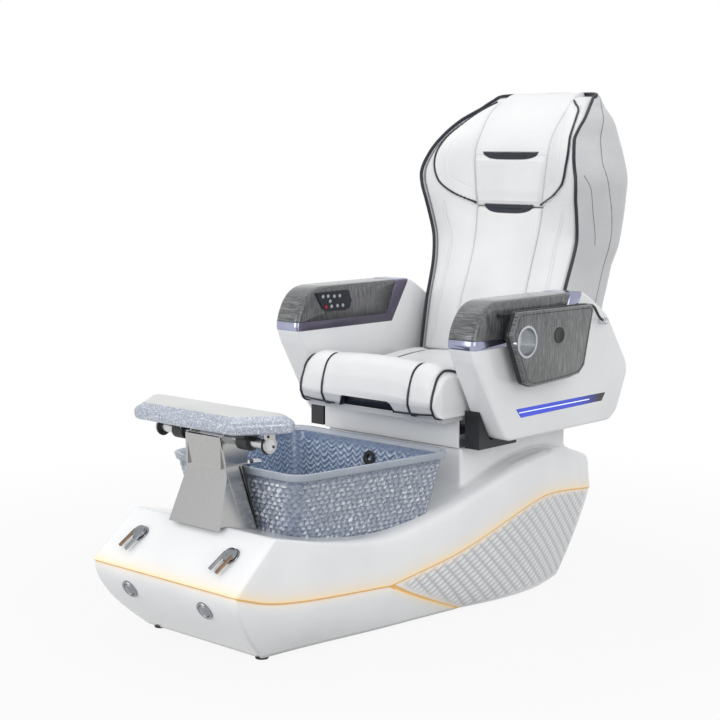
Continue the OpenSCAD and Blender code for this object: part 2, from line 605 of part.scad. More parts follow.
// The slide motor drives a screw between the cross members; the recline motor stands on the carriage
cross_y = [945, 1365];
motor_x = -60;
module drive_motors() color("darkslategray") placed() {
    rod_y(motor_x, cross_y[0] + 30, 1015, carriage_z + 16, 5);
    rod_y(motor_x, 1015, 1130, carriage_z + 20, 26);
    box([motor_x - 30, 1130, carriage_z + 2], [motor_x + 30, 1200, carriage_z + 50]);
    box([motor_x - 30, 1200, carriage_z + 2], [motor_x + 30, cross_y[1], carriage_z + 20]);
    box([rail_x - 4, recline_y - 20, carriage_z + 22], [rail_x + 26, recline_y + 20, carriage_z + 26]);
    rod_x(80, 200, recline_y, carriage_z + 46, 22);
}
module seat_pan() color("tan") placed()
    box([-seat_half_w + 13, seat_front_y + 40, pan_z], [seat_half_w - 13, seat_rear_y - 12, pan_z + pan_t]);

// ---- seat cushion ----
seat_fracs = [-1, -0.97, -0.88, -0.72, -0.62, -0.6, -0.58, -0.4, -0.2, 0,
    0.2, 0.4, 0.58, 0.6, 0.62, 0.72, 0.88, 0.97, 1];
seat_len = seat_rear_y - seat_front_y;
seat_top_keys = [[0, 0.34], [0.015, 0.62], [0.05, 0.88], [0.12, 1.0], [0.3, 0.86], [0.55, 0.72], [0.8, 0.78],
    [0.95, 0.78], [1, 0.66]];
seat_low_keys = [[0, 0.22], [0.03, 0.04], [0.1, 0], [1, 0]];
seat_steps = [0, 0.015, 0.05, 0.12, 0.22, 0.35, 0.5, 0.65, 0.8, 0.92, 0.98, 1];
seat_h = seat_top_z - seat_bottom_z;
seam_dip = 6;
edge_drop = 34;
crown_rise = 6;
function seat_ring(s) =
    let (y = seat_front_y + seat_len * s, top = seat_h * along(seat_top_keys, s),
        low = seat_h * max(0, along(seat_low_keys, s)),
        w = seat_half_w - 12 * (s < 0.05 ? 1 - s / 0.05 : s > 0.95 ? (s - 0.95) / 0.05 : 0))
    concat([for (f = seat_fracs) [w * f * (abs(f) > 0.9 ? 0.985 : 1), y,
            seat_bottom_z + top - min(1, (top - low) / (0.6 * seat_h))
                * (seam_dip * (abs(abs(f) - 0.6) < 0.01 ? 1 : 0) + edge_drop * abs(f)^9)
                + crown_rise * max(0, 1 - (f / 0.6)^2)]],
        [for (i = [len(seat_fracs) - 1 : -1 : 0]) let (f = seat_fracs[i])
            [w * f, y, seat_bottom_z + (abs(f) == 1 ? mix(low, top, 0.5) : low + (abs(f) > 0.9 ? 4 : 0))]]);
handle_half_w = 112;
handle_h = 34;
handle_d = 16;
module seat_cushion() color("whitesmoke") placed() difference() {
    loft([for (s = seat_steps) seat_ring(s)]);
    box([-handle_half_w, seat_front_y - 5, seat_bottom_z - 5],
        [handle_half_w, seat_front_y + 34, seat_bottom_z + handle_h]);
}
module seat_handle() color("midnightblue") placed() difference() {
    box([-handle_half_w + gap, seat_front_y + 34 - handle_d - 12, seat_bottom_z + 1],
        [handle_half_w - gap, seat_front_y + 34 - gap, seat_bottom_z + handle_h - gap]);
    box([-handle_half_w + 8, seat_front_y, seat_bottom_z - 2],
        [handle_half_w - 8, seat_front_y + 34 - 12, seat_bottom_z + handle_h - 8]);
}
module seat_apron() color("white") placed()
    box([-platform_half_w, apron_y - apron_t, platform_z + 2], [platform_half_w, apron_y, pan_z]);

// ---- armrests ----
arm_outer_x = arm_inner_x + arm_w;
arm_front = [[793, band_z], [800, 715], [861, 610], [907, 529], [935, arm_bottom_z + 6],
    [948, arm_bottom_z]];
arm_outline = concat(arm_front, [[1440, arm_bottom_z], [1476, arm_bottom_z + 26], [1528, 620], [1522, 655],
    [1417, 805], [1330, arm_top_z - 20], [1302, arm_top_z - 6], [1286, arm_top_z], [1206, band_z]]);
top_outline = [[785, band_z + band_h], [793, arm_top_z - 76], [808, arm_top_z - 46], [830, arm_top_z - 21],
    [856, arm_top_z - 6], [890, arm_top_z], [1224, arm_top_z], [1180, band_z + band_h]];
trim_outline = [[788, band_z + gap], [1205.5, band_z + gap], [1285, arm_top_z], [1224 + gap, arm_top_z],
    [1180 + gap, band_z + band_h - gap], [785, band_z + band_h - gap]];
// Plan of an armrest: its front and rear corners are rounded off
arm_r = 20;
arm_front_y = 780;
arm_rear_y = 1530;
function arm_corner(x, y, turn) = [for (i = [0 : 4]) let (a = turn + i * 22.5)
    [x + arm_r * cos(a), y + arm_r * sin(a)]];
module arm_plan() {
    translate([arm_inner_x, 0, 300]) linear_extrude(700) polygon(concat(
        arm_corner(arm_r, arm_front_y + arm_r, 180), arm_corner(arm_w - arm_r, arm_front_y + arm_r, 270),
        arm_corner(arm_w - arm_r, arm_rear_y - arm_r, 0), arm_corner(arm_r, arm_rear_y - arm_r, 90)));
}
light_bar = [[974, 570], [1412, 570], [1394, 546], [997, 543]];
light_bar_t = 3;
module armrest_body() difference() {
    intersection() {
        slab(arm_inner_x, arm_outer_x, arm_outline);
        arm_plan();
    }
    box([arm_plate_x - arm_plate_t / 2 - gap, arm_bar_y[0] - 18 - gap, 400],
        [arm_plate_x + arm_plate_t / 2 + gap, arm_bar_y[1] + 18 + gap, arm_plate_top + gap]);
    slab(arm_outer_x - light_bar_t, arm_outer_x + 1, light_bar);
}
module armrest_right() color("whitesmoke") placed() armrest_body();
module armrest_left() color("whitesmoke") placed() mirror([1, 0, 0]) armrest_body();
module armrest_tops() color("gray") placed() both_sides() intersection() {
    slab(arm_inner_x, arm_outer_x, top_outline);
    arm_plan();
}
module armrest_trims() color("slateblue") placed() both_sides() intersection() {
    slab(arm_inner_x, arm_outer_x, trim_outline);
    arm_plan();
}
module arm_light_bars() color("blue") placed() both_sides()
    slab(arm_outer_x - light_bar_t, arm_outer_x - 0.5, light_bar);
// Cover under each armrest, beside the seat's mechanism
module side_supports() color("black") placed() both_sides() slab(arm_inner_x - 10, arm_inner_x + 42,
    [[884, platform_z + 3], [884, 566], [905, 529], [932, arm_bottom_z - gap],
        [arm_bar_y[0] - 18 - gap, arm_bottom_z - gap], [arm_bar_y[0] - 18 - gap, platform_z + 3]]);

// ---- remote control ----
remote_outline = [[857, 863], [887, 815], [904, 804], [983, 801], [1006, 808], [1014, 830], [1001, 863]];
remote_t = 6;
key_r = 5;
key_fit = 0.25;
key_at = [[887, 850], [909, 850], [936, 848], [960, 848], [918, 834],
    [900, 818], [924, 818], [950, 818], [974, 818]];
key_rise = 1.6;
module remote_panel() color("midnightblue") placed() mirror([1, 0, 0]) difference() {
    slab(arm_inner_x - remote_t, arm_inner_x - gap, remote_outline);
    for (k = key_at) rod_x(arm_inner_x - remote_t - 1, arm_inner_x - 1.5, k[0], k[1], key_r + key_fit);
}
module remote_key(i) color(i == 5 ? "red" : "silver") placed() mirror([1, 0, 0])
    rod_x(arm_inner_x - remote_t - key_rise, arm_inner_x - 3, key_at[i][0], key_at[i][1], key_r);
module remote_button_1() remote_key(0);
module remote_button_2() remote_key(1);
module remote_button_3() remote_key(2);
module remote_button_4() remote_key(3);
module remote_button_5() remote_key(4);
module remote_button_6() remote_key(5);
module remote_button_7() remote_key(6);
module remote_button_8() remote_key(7);
module remote_button_9() remote_key(8);

// ---- trays ----
rod_x_at = arm_outer_x + 16;
rod_z = 842;
tray_x = arm_outer_x + 32;
tray_outline = [[905, 853], [1248, 850], [1257, 836], [1216, 677], [1190, 655], [1140, 648],
    [975, 640], [940, 652], [876, 790]];
cup_y = 940;
cup_z = 769;
knuckle_y = [960, 1170];
knuckle_l = 40;
module tray() difference() {
    union() {
        slab(tray_x, tray_x + tray_t, tray_outline);
        for (y = knuckle_y) {
            rod_y(rod_x_at, y, y + knuckle_l, rod_z, tray_rod_r + 4);
            box([rod_x_at, y, rod_z - 8], [tray_x, y + knuckle_l, rod_z]);
        }
    }
    for (y = knuckle_y) rod_y(rod_x_at, y - 1, y + knuckle_l + 1, rod_z, tray_rod_r + run_fit);
    rod_x(tray_x + tray_t - cup_d - gap, tray_x + tray_t + 1, cup_y, cup_z, cup_r + gap);
}
module tray_right() color("gray") placed() tray();
module tray_left() color("gray") placed() mirror([1, 0, 0]) tray();
module cup_holder() difference() {
    union() {
        rod_x(tray_x + tray_t - cup_d, tray_x + tray_t, cup_y, cup_z, cup_r);
        rod_x(tray_x + tray_t, tray_x + tray_t + 2, cup_y, cup_z, cup_r + 5);
    }
    rod_x(tray_x + tray_t - cup_d + 1.5, tray_x + tray_t + 3, cup_y, cup_z, cup_r - 1.5);
}
module cup_holder_right() color("silver") placed() cup_holder();
module cup_holder_left() color("silver") placed() mirror([1, 0, 0]) cup_holder();
rod_front_y = 886;
rod_rear_y = 1376;
module tray_hinge_rods() color("black") placed() both_sides() {
    rod_y(rod_x_at, rod_front_y, 1290, rod_z, tray_rod_r);
    rod_x(arm_outer_x, rod_x_at + tray_rod_r, rod_front_y, rod_z, tray_rod_r);
    hose([[rod_x_at, 1288, rod_z], [rod_x_at, 1320, rod_z - 6], [rod_x_at, 1350, rod_z - 40],
        [rod_x_at, rod_rear_y, 788]], tray_rod_r, 8);
    rod_x(arm_outer_x, rod_x_at + 8, rod_rear_y, 788, 9);
}

// ---- backrest ----
// Front face of the backrest at its middle, and of its edge piping, by height
middle_keys = [[650, 1300], [790, 1329], [960, 1388], [1036, 1411], [1129, 1424], [1279, 1434], [1340, 1462],
    [1413, 1521], [back_top_z - 12, 1572]];
edge_y_keys = [[640, 1310], [820, 1350], [927, 1385], [1013, 1402], [1079, 1391], [1181, 1365], [1246, 1366],
    [1325, 1411], [1381, 1487], [1418, 1553], [1445, 1596], [back_top_z - 6, 1630], [back_top_z, 1646]];
edge_x_keys = [[640, 262], [820, 269], [927, 275], [1013, 286], [1141, 300], [1208, 307],
    [1287, 284], [1325, 267], [1381, 247], [1418, 218], [1445, 200], [back_top_z - 6, 180],
    [back_top_z, 150]];
rear_keys = [[640, back_rear_y - 150], [764, back_rear_y - 82], [826, back_rear_y - 60],
    [886, back_rear_y - 42], [963, back_rear_y - 24], [1040, back_rear_y - 10], [1133, back_rear_y],
    [1242, back_rear_y - 2], [1290, back_rear_y - 4], [1340, back_rear_y - 9],
    [1386, back_rear_y - 22], [1410, back_rear_y - 34], [1436, back_rear_y - 48],
    [back_top_z, back_rear_y - 60]];
shell_low_z = 640;
shell_skin = 9;
shell_levels = [shell_low_z, 720, 800, 880, 930, 980, 1030, 1100, 1170, 1240, 1300, 1350, 1390, 1420, 1444,
    back_top_z - 6, back_top_z];
shell_angles = [0, 8, 18, 30, 45, 60, 72, 82, 90];
// Half of the shell's outline at a height, from its edge round to the rear
function shell_half(z, inset) =
    let (x = along(edge_x_keys, z) - inset, y0 = along(edge_y_keys, z), y1 = along(rear_keys, z) - inset,
        bulge = 10 * max(0, min(1, (z - 930) / 60, (1420 - z) / 90)))
    [for (a = shell_angles) let (q = round_pt(x, y1 - y0, a, 5)) [q[0] + bulge * sin(2 * a), y0 + q[1], z]];
function full_line(half) = concat(half,
    [for (i = [len(half) - 2 : -1 : 0]) [-half[i][0], half[i][1], half[i][2]]]);
function reversed(points) = [for (i = [len(points) - 1 : -1 : 0]) points[i]];
function shell_wall(z) = min(shell_skin, 0.5 * (along(rear_keys, z) - along(edge_y_keys, z)));
module back_shell() color("gainsboro") placed() loft([for (z = shell_levels)
    concat(full_line(shell_half(z, 0)), reversed(full_line(shell_half(z, shell_wall(z)))))]);
// The board behind the cushions leans with the back: y of its front face by height
board_y = 1400;
board_z = 680;
function board_front(z) = board_y + (z - board_z) * tan(back_lean);
module on_back() { translate([0, board_y, board_z]) rotate([-back_lean, 0, 0]) children(); }
track_x = 70;
track_w = 22;
track_low = 40;
track_high = 560;
board_half_w = 205;
module back_frame() color("dimgray") placed() {
    on_back() {
        difference() {
            box([-board_half_w, 0, -20], [board_half_w, 10, board_top]);
            box([-track_x, -1, track_low], [track_x, 11, track_high]);
        }
        both_sides() box([track_x, 10, track_low - 30], [track_x + track_w, 70, track_high + 30]);
        for (z = [track_low - 30, track_high]) box([-track_x, 10, z], [track_x, 34, z + 30]);
    }
    both_sides() {
        slab(hinge_x - 8 - gap, hinge_x - gap,
            [[recline_y - 14, recline_z - 14], [recline_y + 16, recline_z - 14],
                [board_y + 50, 640], [board_y + 70, 760], [board_y + 25, 760], [board_y - 4, 645],
                [recline_y - 12, recline_z + 18]]);
        on_back() box([board_half_w - 10, 0, 0], [hinge_x - gap, 10, 60]);
    }
    rod_x(-hinge_x - 10, hinge_x + 10, recline_y, recline_z, recline_r);
}
roller_r = 24;
roller_x = 32;
shaft_r = 6;
roller_low = 150;
module roller_carriage() color("slategray") placed() on_back() difference() {
    union() {
        box([-track_x + gap, 56, roller_low], [track_x - gap, 66, roller_low + 90]);
        both_sides() box([track_x - 8, 16, roller_low], [track_x - gap, 56, roller_low + 90]);
    }
    rod_x(-track_x, track_x, 28, roller_low + 45, shaft_r + run_fit);
}
module massage_rollers() color("tan") placed() on_back() {
    rod_x(-track_x + 1, track_x - 1, 28, roller_low + 45, shaft_r);
    both_sides() rod_x(roller_x - 14, roller_x + 14, 28, roller_low + 45, roller_r);
}
// Cushion section between its front and rear faces: crowned across, drawn in at its sides.
// The front face runs from y = front[0] at x0 to y = front[1] at x1.
section_n = 20;
function cushion_ring(x0, x1, front, rear, z, crown, p) =
    let (cx = (x0 + x1) / 2, w = (x1 - x0) / 2)
    [for (i = [0 : section_n - 1]) let (q = round_pt(1, 1, 360 * (i + 0.5) / section_n, p),
            face = mix(front[0], front[1], (q[0] + 1) / 2) - crown * (1 - q[0]^2))
        [cx + w * q[0], mix(face, rear, (q[1] + 1) / 2), z]];
seam_x_keys = [[650, 126], [790, 124], [960, 120], [1129, 130], [1279, 144], [1340, 143], [1413, 146],
    [back_top_z, 130]];
board_top = 640;
board_top_z = board_z + board_top * cos(back_lean);
function draw_in(s) = 1 - 0.5 * max(0, abs(2 * s - 1) - 0.86) / 0.14;
function cushion_rear(z) = min(board_front(z) - gap + 0.9 * max(0, z - board_top_z - 4),
    along(rear_keys, z) - shell_skin - 8);
cushion_steps = [0, 0.04, 0.12, 0.25, 0.4, 0.55, 0.7, 0.85, 0.95, 1];
neck_z = 1112;
cushion_low_z = 656;
// Middle panel of the backrest between two heights
module middle_pad(z0, z1) loft([for (s = cushion_steps)
    let (z = mix(z0, z1, s), w = (along(seam_x_keys, z) - gap) * mix(0.96, 1, draw_in(s)),
        rear = cushion_rear(z), front = mix(rear, along(middle_keys, z) + 6, draw_in(s)))
    cushion_ring(-w, w, [front, front], rear, z, 6, 5)]);
module back_cushion() color("whitesmoke") placed() middle_pad(cushion_low_z, neck_z);
module head_cushion() color("whitesmoke") placed() middle_pad(neck_z + 2, back_top_z);
bolster_crown = 10;
bolster_steps = [0, 0.04, 0.12, 0.22, 0.32, 0.42, 0.5, 0.58, 0.66, 0.74, 0.82, 0.9, 0.96, 1];
bolster_top_z = 1452;
bolster_thin_z = bolster_top_z - 102;
module side_bolsters() color("whitesmoke") placed() both_sides() loft([for (s = bolster_steps)
    let (z = mix(cushion_low_z, bolster_top_z, s), x0 = along(seam_x_keys, z) + gap,
        x1 = max(x0 + 24, along(edge_x_keys, z) - shell_skin - 4),
        thin = 26 * max(0, min(1, (z - bolster_thin_z) / 60)),
        rear = max(along(edge_y_keys, z) + 10, cushion_rear(z) - thin),
        seam = mix(rear, along(middle_keys, z) + 8, draw_in(s)),
        edge = mix(rear, along(edge_y_keys, z) + 4, draw_in(s)))
    cushion_ring(x0, x1, [seam, edge], rear, z, bolster_crown, 4)]);

base_frame();
leveling_feet();
lower_hull();
upper_shell();
side_panels();
rear_panel();
light_strip();
bowl();
jet_nozzles();
drain_fitting();
drain_stopper();
jet_motor();
water_hoses();
mixing_valve();
front_escutcheons();
valve_lever_left();
valve_lever_right();
air_button_left();
air_button_right();
water_spout();
footrest_bracket();
footrest_shaft();
footrest_clamps();
footrest_end_plates();
footrest_pad();
seat_rails();
seat_carriage();
drive_motors();
seat_pan();
seat_cushion();
seat_handle();
seat_apron();
side_supports();
armrest_left();
armrest_right();
armrest_tops();
armrest_trims();
arm_light_bars();
remote_panel();
remote_button_1();
remote_button_2();
remote_button_3();
remote_button_4();
remote_button_5();
remote_button_6();
remote_button_7();
remote_button_8();
remote_button_9();
tray_left();
tray_right();
tray_hinge_rods();
cup_holder_left();
cup_holder_right();
back_frame();
back_shell();
back_cushion();
side_bolsters();
head_cushion();
roller_carriage();
massage_rollers();
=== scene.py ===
import bpy
import bmesh
import json
import math
from mathutils import Matrix, Vector, kdtree, noise


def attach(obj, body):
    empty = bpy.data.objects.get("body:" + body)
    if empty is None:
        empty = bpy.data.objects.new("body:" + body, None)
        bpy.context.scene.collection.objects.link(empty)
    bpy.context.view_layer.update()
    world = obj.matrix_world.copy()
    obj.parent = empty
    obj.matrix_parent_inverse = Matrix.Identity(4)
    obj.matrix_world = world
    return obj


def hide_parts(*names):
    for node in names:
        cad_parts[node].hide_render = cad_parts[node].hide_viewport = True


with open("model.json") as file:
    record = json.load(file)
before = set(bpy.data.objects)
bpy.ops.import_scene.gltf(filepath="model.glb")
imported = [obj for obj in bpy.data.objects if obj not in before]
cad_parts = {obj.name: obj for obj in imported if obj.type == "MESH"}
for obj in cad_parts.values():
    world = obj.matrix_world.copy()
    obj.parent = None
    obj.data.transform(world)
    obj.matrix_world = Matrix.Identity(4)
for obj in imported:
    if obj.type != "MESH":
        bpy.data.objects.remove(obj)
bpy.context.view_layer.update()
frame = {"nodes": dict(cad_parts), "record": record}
print("frame loaded:", len(frame["nodes"]), "nodes")

noseY = 858    # the hull's nose lies this many mm in front of the origin


# small helpers
def at(x, y, z):
    return Vector((x, y - noseY, z)) / 1000    # mm, y counted back from the nose


def mix(a, b, t):
    return a + (b - a) * t


def clamp(t, low=0.0, high=1.0):
    return max(low, min(high, t))


def ease(t):
    t = clamp(t)
    return t * t * (3 - 2 * t)


def along(keys, s):
    # smooth curve through (s, value) keys
    i = 0
    while i < len(keys) - 2 and s > keys[i + 1][0]:
        i += 1
    def slope(k):
        low, high = max(0, k - 1), min(len(keys) - 1, k + 1)
        return (keys[high][1] - keys[low][1]) / (keys[high][0] - keys[low][0])
    step = keys[i + 1][0] - keys[i][0]
    t = (s - keys[i][0]) / step
    return (keys[i][1] * (2 * t**3 - 3 * t**2 + 1) + slope(i) * step * (t**3 - 2 * t**2 + t)
            + keys[i + 1][1] * (3 * t**2 - 2 * t**3) + slope(i + 1) * step * (t**3 - t**2))


def smoothLine(points, count):
    # the same points, resampled along a soft curve
    line = []
    for i in range(count + 1):
        s = i / count * (len(points) - 1)
        k = min(len(points) - 2, int(s))
        f = s - k
        a, b = Vector(points[k]), Vector(points[k + 1])
        before, after = Vector(points[max(0, k - 1)]), Vector(points[min(len(points) - 1, k + 2)])
        line.append(0.5 * (2 * a + (b - before) * f + (2 * before - 5 * a + 4 * b - after) * f**2
                           + (3 * a - before - 3 * b + after) * f**3))
    return line


def otherSide(line):
    return [Vector((-p.x, p.y, p.z)) for p in line]


def wholeOf(bm):
    return bm.verts[:] + bm.edges[:] + bm.faces[:]


def vertsIn(geom):
    return [g for g in geom if isinstance(g, bmesh.types.BMVert)]


def skin(across, up, place, tone=None):
    # a grid laid over a form; edges that meet are welded, tone is kept as the relief attribute, which the
    # wave gelcoat and the cast acrylic turn into painted shade and painted highlight
    bm = bmesh.new()
    bmesh.ops.create_grid(bm, x_segments=across, y_segments=up, size=0.5)
    layer = bm.verts.layers.float.new("relief") if tone else None
    for v in bm.verts:
        u, w = v.co.x + 0.5, v.co.y + 0.5
        if tone:
            v[layer] = tone(u, w)
        v.co = place(u, w)
    bmesh.ops.remove_doubles(bm, verts=bm.verts, dist=1e-6)
    bmesh.ops.dissolve_degenerate(bm, edges=bm.edges, dist=1e-7)
    return bm


def capEnds(bm):
    bmesh.ops.holes_fill(bm, edges=[e for e in bm.edges if e.is_boundary], sides=0)
    return bm


def soften(bm, size, steps=3, angle=30, where=None):
    # rounds every edge that is sharper than the angle
    sharp = [e for e in bm.edges if len(e.link_faces) == 2 and e.calc_face_angle(0) > math.radians(angle)
             and (where is None or where(e))]
    bmesh.ops.bevel(bm, geom=sharp, offset=size / 1000, segments=steps, profile=0.5, affect="EDGES",
                    material=-1, clamp_overlap=True)
    return bm


def slab(outline, x0, x1):
    # a side outline of (y, z) points drawn out between two x positions
    bm = bmesh.new()
    face = bm.faces.new([bm.verts.new(at(x0, y, z)) for y, z in outline])
    grown = bmesh.ops.extrude_face_region(bm, geom=[face])["geom"]
    bmesh.ops.translate(bm, verts=vertsIn(grown), vec=((x1 - x0) / 1000, 0, 0))
    bmesh.ops.recalc_face_normals(bm, faces=bm.faces)
    return bm


def block(low, high):
    bm = bmesh.new()
    bmesh.ops.create_cube(bm, size=1)
    middle, size = (at(*low) + at(*high)) / 2, at(*high) - at(*low)
    bmesh.ops.scale(bm, verts=bm.verts, vec=size)
    bmesh.ops.translate(bm, verts=bm.verts, vec=middle)
    return bm


def tube(line, radius, sides=10):
    # a round bead along a line of points in metres
    line = [Vector(p) for p in line]
    n = len(line) - 1
    turns = []
    side = None
    for i in range(n + 1):
        way = (line[min(n, i + 1)] - line[max(0, i - 1)]).normalized()
        if side is None:
            side = way.orthogonal().normalized()
        side = (side - way * side.dot(way)).normalized()
        turns.append((line[i], side, way.cross(side)))
    def place(u, v):
        centre, first, second = turns[round(v * n)]
        return centre + radius / 1000 * (math.cos(2 * math.pi * u) * first
                                         + math.sin(2 * math.pi * u) * second)
    return capEnds(skin(sides, n, place))


def disc(centre, axis, profile, turns=40):
    # profile of (radius, height) points spun about an axis through centre, all in mm
    bm = bmesh.new()
    points = [bm.verts.new((r / 1000, 0, h / 1000)) for r, h in profile]
    edges = [bm.edges.new(pair) for pair in zip(points, points[1:])]
    bmesh.ops.spin(bm, geom=points + edges, cent=(0, 0, 0), axis=(0, 0, 1), angle=2 * math.pi, steps=turns,
                   use_merge=True)
    bmesh.ops.remove_doubles(bm, verts=bm.verts, dist=1e-6)
    bmesh.ops.recalc_face_normals(bm, faces=bm.faces)
    turn = Vector(axis).to_track_quat("Z", "Y").to_matrix().to_4x4()
    bmesh.ops.transform(bm, verts=bm.verts, matrix=Matrix.Translation(at(*centre)) @ turn)
    return bm


def stitches(line, spacing, length, width):
    # a row of thread stitches along a line; spacing and sizes in mm
    whole = bmesh.new()
    left = 0.0
    for a, b in zip(line, line[1:]):
        run = (b - a).length * 1000
        while left < run:
            turn = (b - a).to_track_quat("X", "Z").to_matrix().to_4x4()
            spot = Matrix.Translation(a.lerp(b, left / run)) @ turn
            bmesh.ops.create_cube(whole, size=0.001, matrix=spot @ Matrix.Diagonal((length, width, width, 1)))
            left += spacing
        left -= run
    return whole


def joined(forms):
    whole = bmesh.new()
    for form in forms:
        mesh = bpy.data.meshes.new("part")
        form.to_mesh(mesh)
        form.free()
        whole.from_mesh(mesh)
        bpy.data.meshes.remove(mesh)
    return whole


def mirrored(bm):
    # adds the other side across the middle of the chair
    bmesh.ops.recalc_face_normals(bm, faces=bm.faces)
    copy = bmesh.ops.duplicate(bm, geom=wholeOf(bm))["geom"]
    bmesh.ops.scale(bm, verts=vertsIn(copy), vec=(-1, 1, 1))
    bmesh.ops.reverse_faces(bm, faces=[g for g in copy if isinstance(g, bmesh.types.BMFace)])
    return bm


def flipped(bm):
    bmesh.ops.scale(bm, verts=bm.verts, vec=(-1, 1, 1))
    bmesh.ops.reverse_faces(bm, faces=bm.faces)
    return bm


def smoothShaded(mesh, sharp):
    for face in mesh.polygons:
        face.use_smooth = True
    mesh.set_sharp_from_angle(angle=math.radians(sharp))


def addPiece(name, bm, finish, body, replaces=(), sharp=35, recalc=True):
    if recalc:
        bmesh.ops.recalc_face_normals(bm, faces=bm.faces)
    mesh = bpy.data.meshes.new(name)
    bm.to_mesh(mesh)
    bm.free()
    smoothShaded(mesh, sharp)
    for one in (finish if isinstance(finish, list) else [finish]):
        mesh.materials.append(one)
    piece = bpy.data.objects.new(name, mesh)
    bpy.context.scene.collection.objects.link(piece)
    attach(piece, body)
    if replaces:
        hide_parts(*replaces)
    return piece


def shaped(piece, kind, **settings):
    # one modifier, applied at once
    modifier = piece.modifiers.new(kind.title(), kind)
    for key, value in settings.items():
        setattr(modifier, key, value)
    done = bpy.data.meshes.new_from_object(piece.evaluated_get(bpy.context.evaluated_depsgraph_get()))
    piece.modifiers.clear()
    piece.data = done
    return piece


def cutAway(piece, bm, sharp=35):
    mesh = bpy.data.meshes.new("cutter")
    bmesh.ops.recalc_face_normals(bm, faces=bm.faces)
    bm.to_mesh(mesh)
    bm.free()
    cutter = bpy.data.objects.new("cutter", mesh)
    bpy.context.scene.collection.objects.link(cutter)
    shaped(piece, "BOOLEAN", operation="DIFFERENCE", solver="EXACT", object=cutter)
    bpy.data.objects.remove(cutter)
    smoothShaded(piece.data, sharp)
    return piece


# materials
def hexColor(code):
    parts = [int(code[i:i + 2], 16) / 255 for i in (1, 3, 5)]
    return tuple(c / 12.92 if c <= 0.04045 else ((c + 0.055) / 1.055) ** 2.4 for c in parts) + (1.0,)


def addNode(tree, kind, inputs=None, **settings):
    made = tree.nodes.new(kind)
    for key, value in settings.items():
        setattr(made, key, value)
    for key, value in (inputs or {}).items():
        if isinstance(value, bpy.types.NodeSocket):
            tree.links.new(value, made.inputs[key])
        else:
            made.inputs[key].default_value = value
    return made


def startMaterial(name, **sockets):
    material = bpy.data.materials.new(name)
    material.use_nodes = True
    tree = material.node_tree
    shader = tree.nodes["Principled BSDF"]
    for key, value in sockets.items():
        shader.inputs[key.replace("_", " ")].default_value = value
    place = addNode(tree, "ShaderNodeTexCoord").outputs["Object"]
    return material, tree, shader, place


def rampColors(ramp, stops):
    band = ramp.color_ramp
    while len(band.elements) < len(stops):
        band.elements.new(0.5)
    for element, (position, code) in zip(band.elements, stops):
        element.position = position
        element.color = hexColor(code) if isinstance(code, str) else (code, code, code, 1)
    return ramp


def speckled(name, dark, light, grain, rough, bump, **sockets):
    # a finish with soft colour drift and a fine surface grain; grain in mm
    material, tree, shader, place = startMaterial(name, **sockets)
    drift = addNode(tree, "ShaderNodeTexNoise", {"Vector": place, "Scale": 6.0, "Detail": 3.0})
    ramp = rampColors(addNode(tree, "ShaderNodeValToRGB", {"Fac": drift.outputs["Fac"]}),
                      [(0.3, dark), (0.7, light)])
    tree.links.new(ramp.outputs["Color"], shader.inputs["Base Color"])
    fine = addNode(tree, "ShaderNodeTexNoise", {"Vector": place, "Scale": 1000 / grain, "Detail": 2.0})
    relief = addNode(tree, "ShaderNodeBump",
                     {"Height": fine.outputs["Fac"], "Strength": bump, "Distance": 0.0004})
    tree.links.new(relief.outputs["Normal"], shader.inputs["Normal"])
    gloss = addNode(tree, "ShaderNodeMapRange",
                    {"Value": drift.outputs["Fac"], 3: rough * 0.85, 4: rough * 1.15})
    tree.links.new(gloss.outputs["Result"], shader.inputs["Roughness"])
    return material


def litBySeam(material):
    # warm light of the seam on the shell beside it, read from the piece's own attribute
    tree = material.node_tree
    shader = tree.nodes["Principled BSDF"]
    glow = addNode(tree, "ShaderNodeAttribute", attribute_name="glow").outputs["Fac"]
    plain = shader.inputs["Base Color"].links[0].from_socket
    warm = addNode(tree, "ShaderNodeMix", {"Factor": glow, 6: plain, 7: hexColor("#fae4bd")},
                   data_type="RGBA")
    tree.links.new(warm.outputs[2], shader.inputs["Base Color"])
    shine = rampColors(addNode(tree, "ShaderNodeValToRGB", {"Fac": glow}),
                       [(0.0, "#000000"), (1.0, "#b58a4a")])
    tree.links.new(shine.outputs["Color"], shader.inputs["Emission Color"])
    shader.inputs["Emission Strength"].default_value = 0.1
    return material


def shadeInHollows(material, shade):
    # painted shade lies in the hollows of a pressed relief, read from the piece's own attribute
    tree = material.node_tree
    shader = tree.nodes["Principled BSDF"]
    height = addNode(tree, "ShaderNodeAttribute", attribute_name="relief").outputs["Fac"]
    plain = shader.inputs["Base Color"].links[0].from_socket
    tone = addNode(tree, "ShaderNodeMix", {"Factor": height, 6: hexColor(shade), 7: plain}, data_type="RGBA")
    tree.links.new(tone.outputs[2], shader.inputs["Base Color"])
    return material


def leather(name, dark, light, rough, fold, **sockets):
    # PU leather: fine pebble at about 1.6 mm, soft folds tens of mm long
    material = speckled(name, dark, light, 1.6, rough, 0.22, **sockets)
    tree = material.node_tree
    shader = tree.nodes["Principled BSDF"]
    place = tree.nodes["Texture Coordinate"].outputs["Object"]
    pebble = shader.inputs["Normal"].links[0].from_node
    long = addNode(tree, "ShaderNodeMapping", {"Vector": place, "Scale": (14.0, 14.0, 22.0)})
    folds = addNode(tree, "ShaderNodeTexNoise",
                    {"Vector": long.outputs["Vector"], "Scale": 1.0, "Detail": 3.0, "Distortion": 0.6})
    soft = addNode(tree, "ShaderNodeBump",
                   {"Height": folds.outputs["Fac"], "Strength": fold, "Distance": 0.006})
    tree.links.new(soft.outputs["Normal"], pebble.inputs["Normal"])
    return material


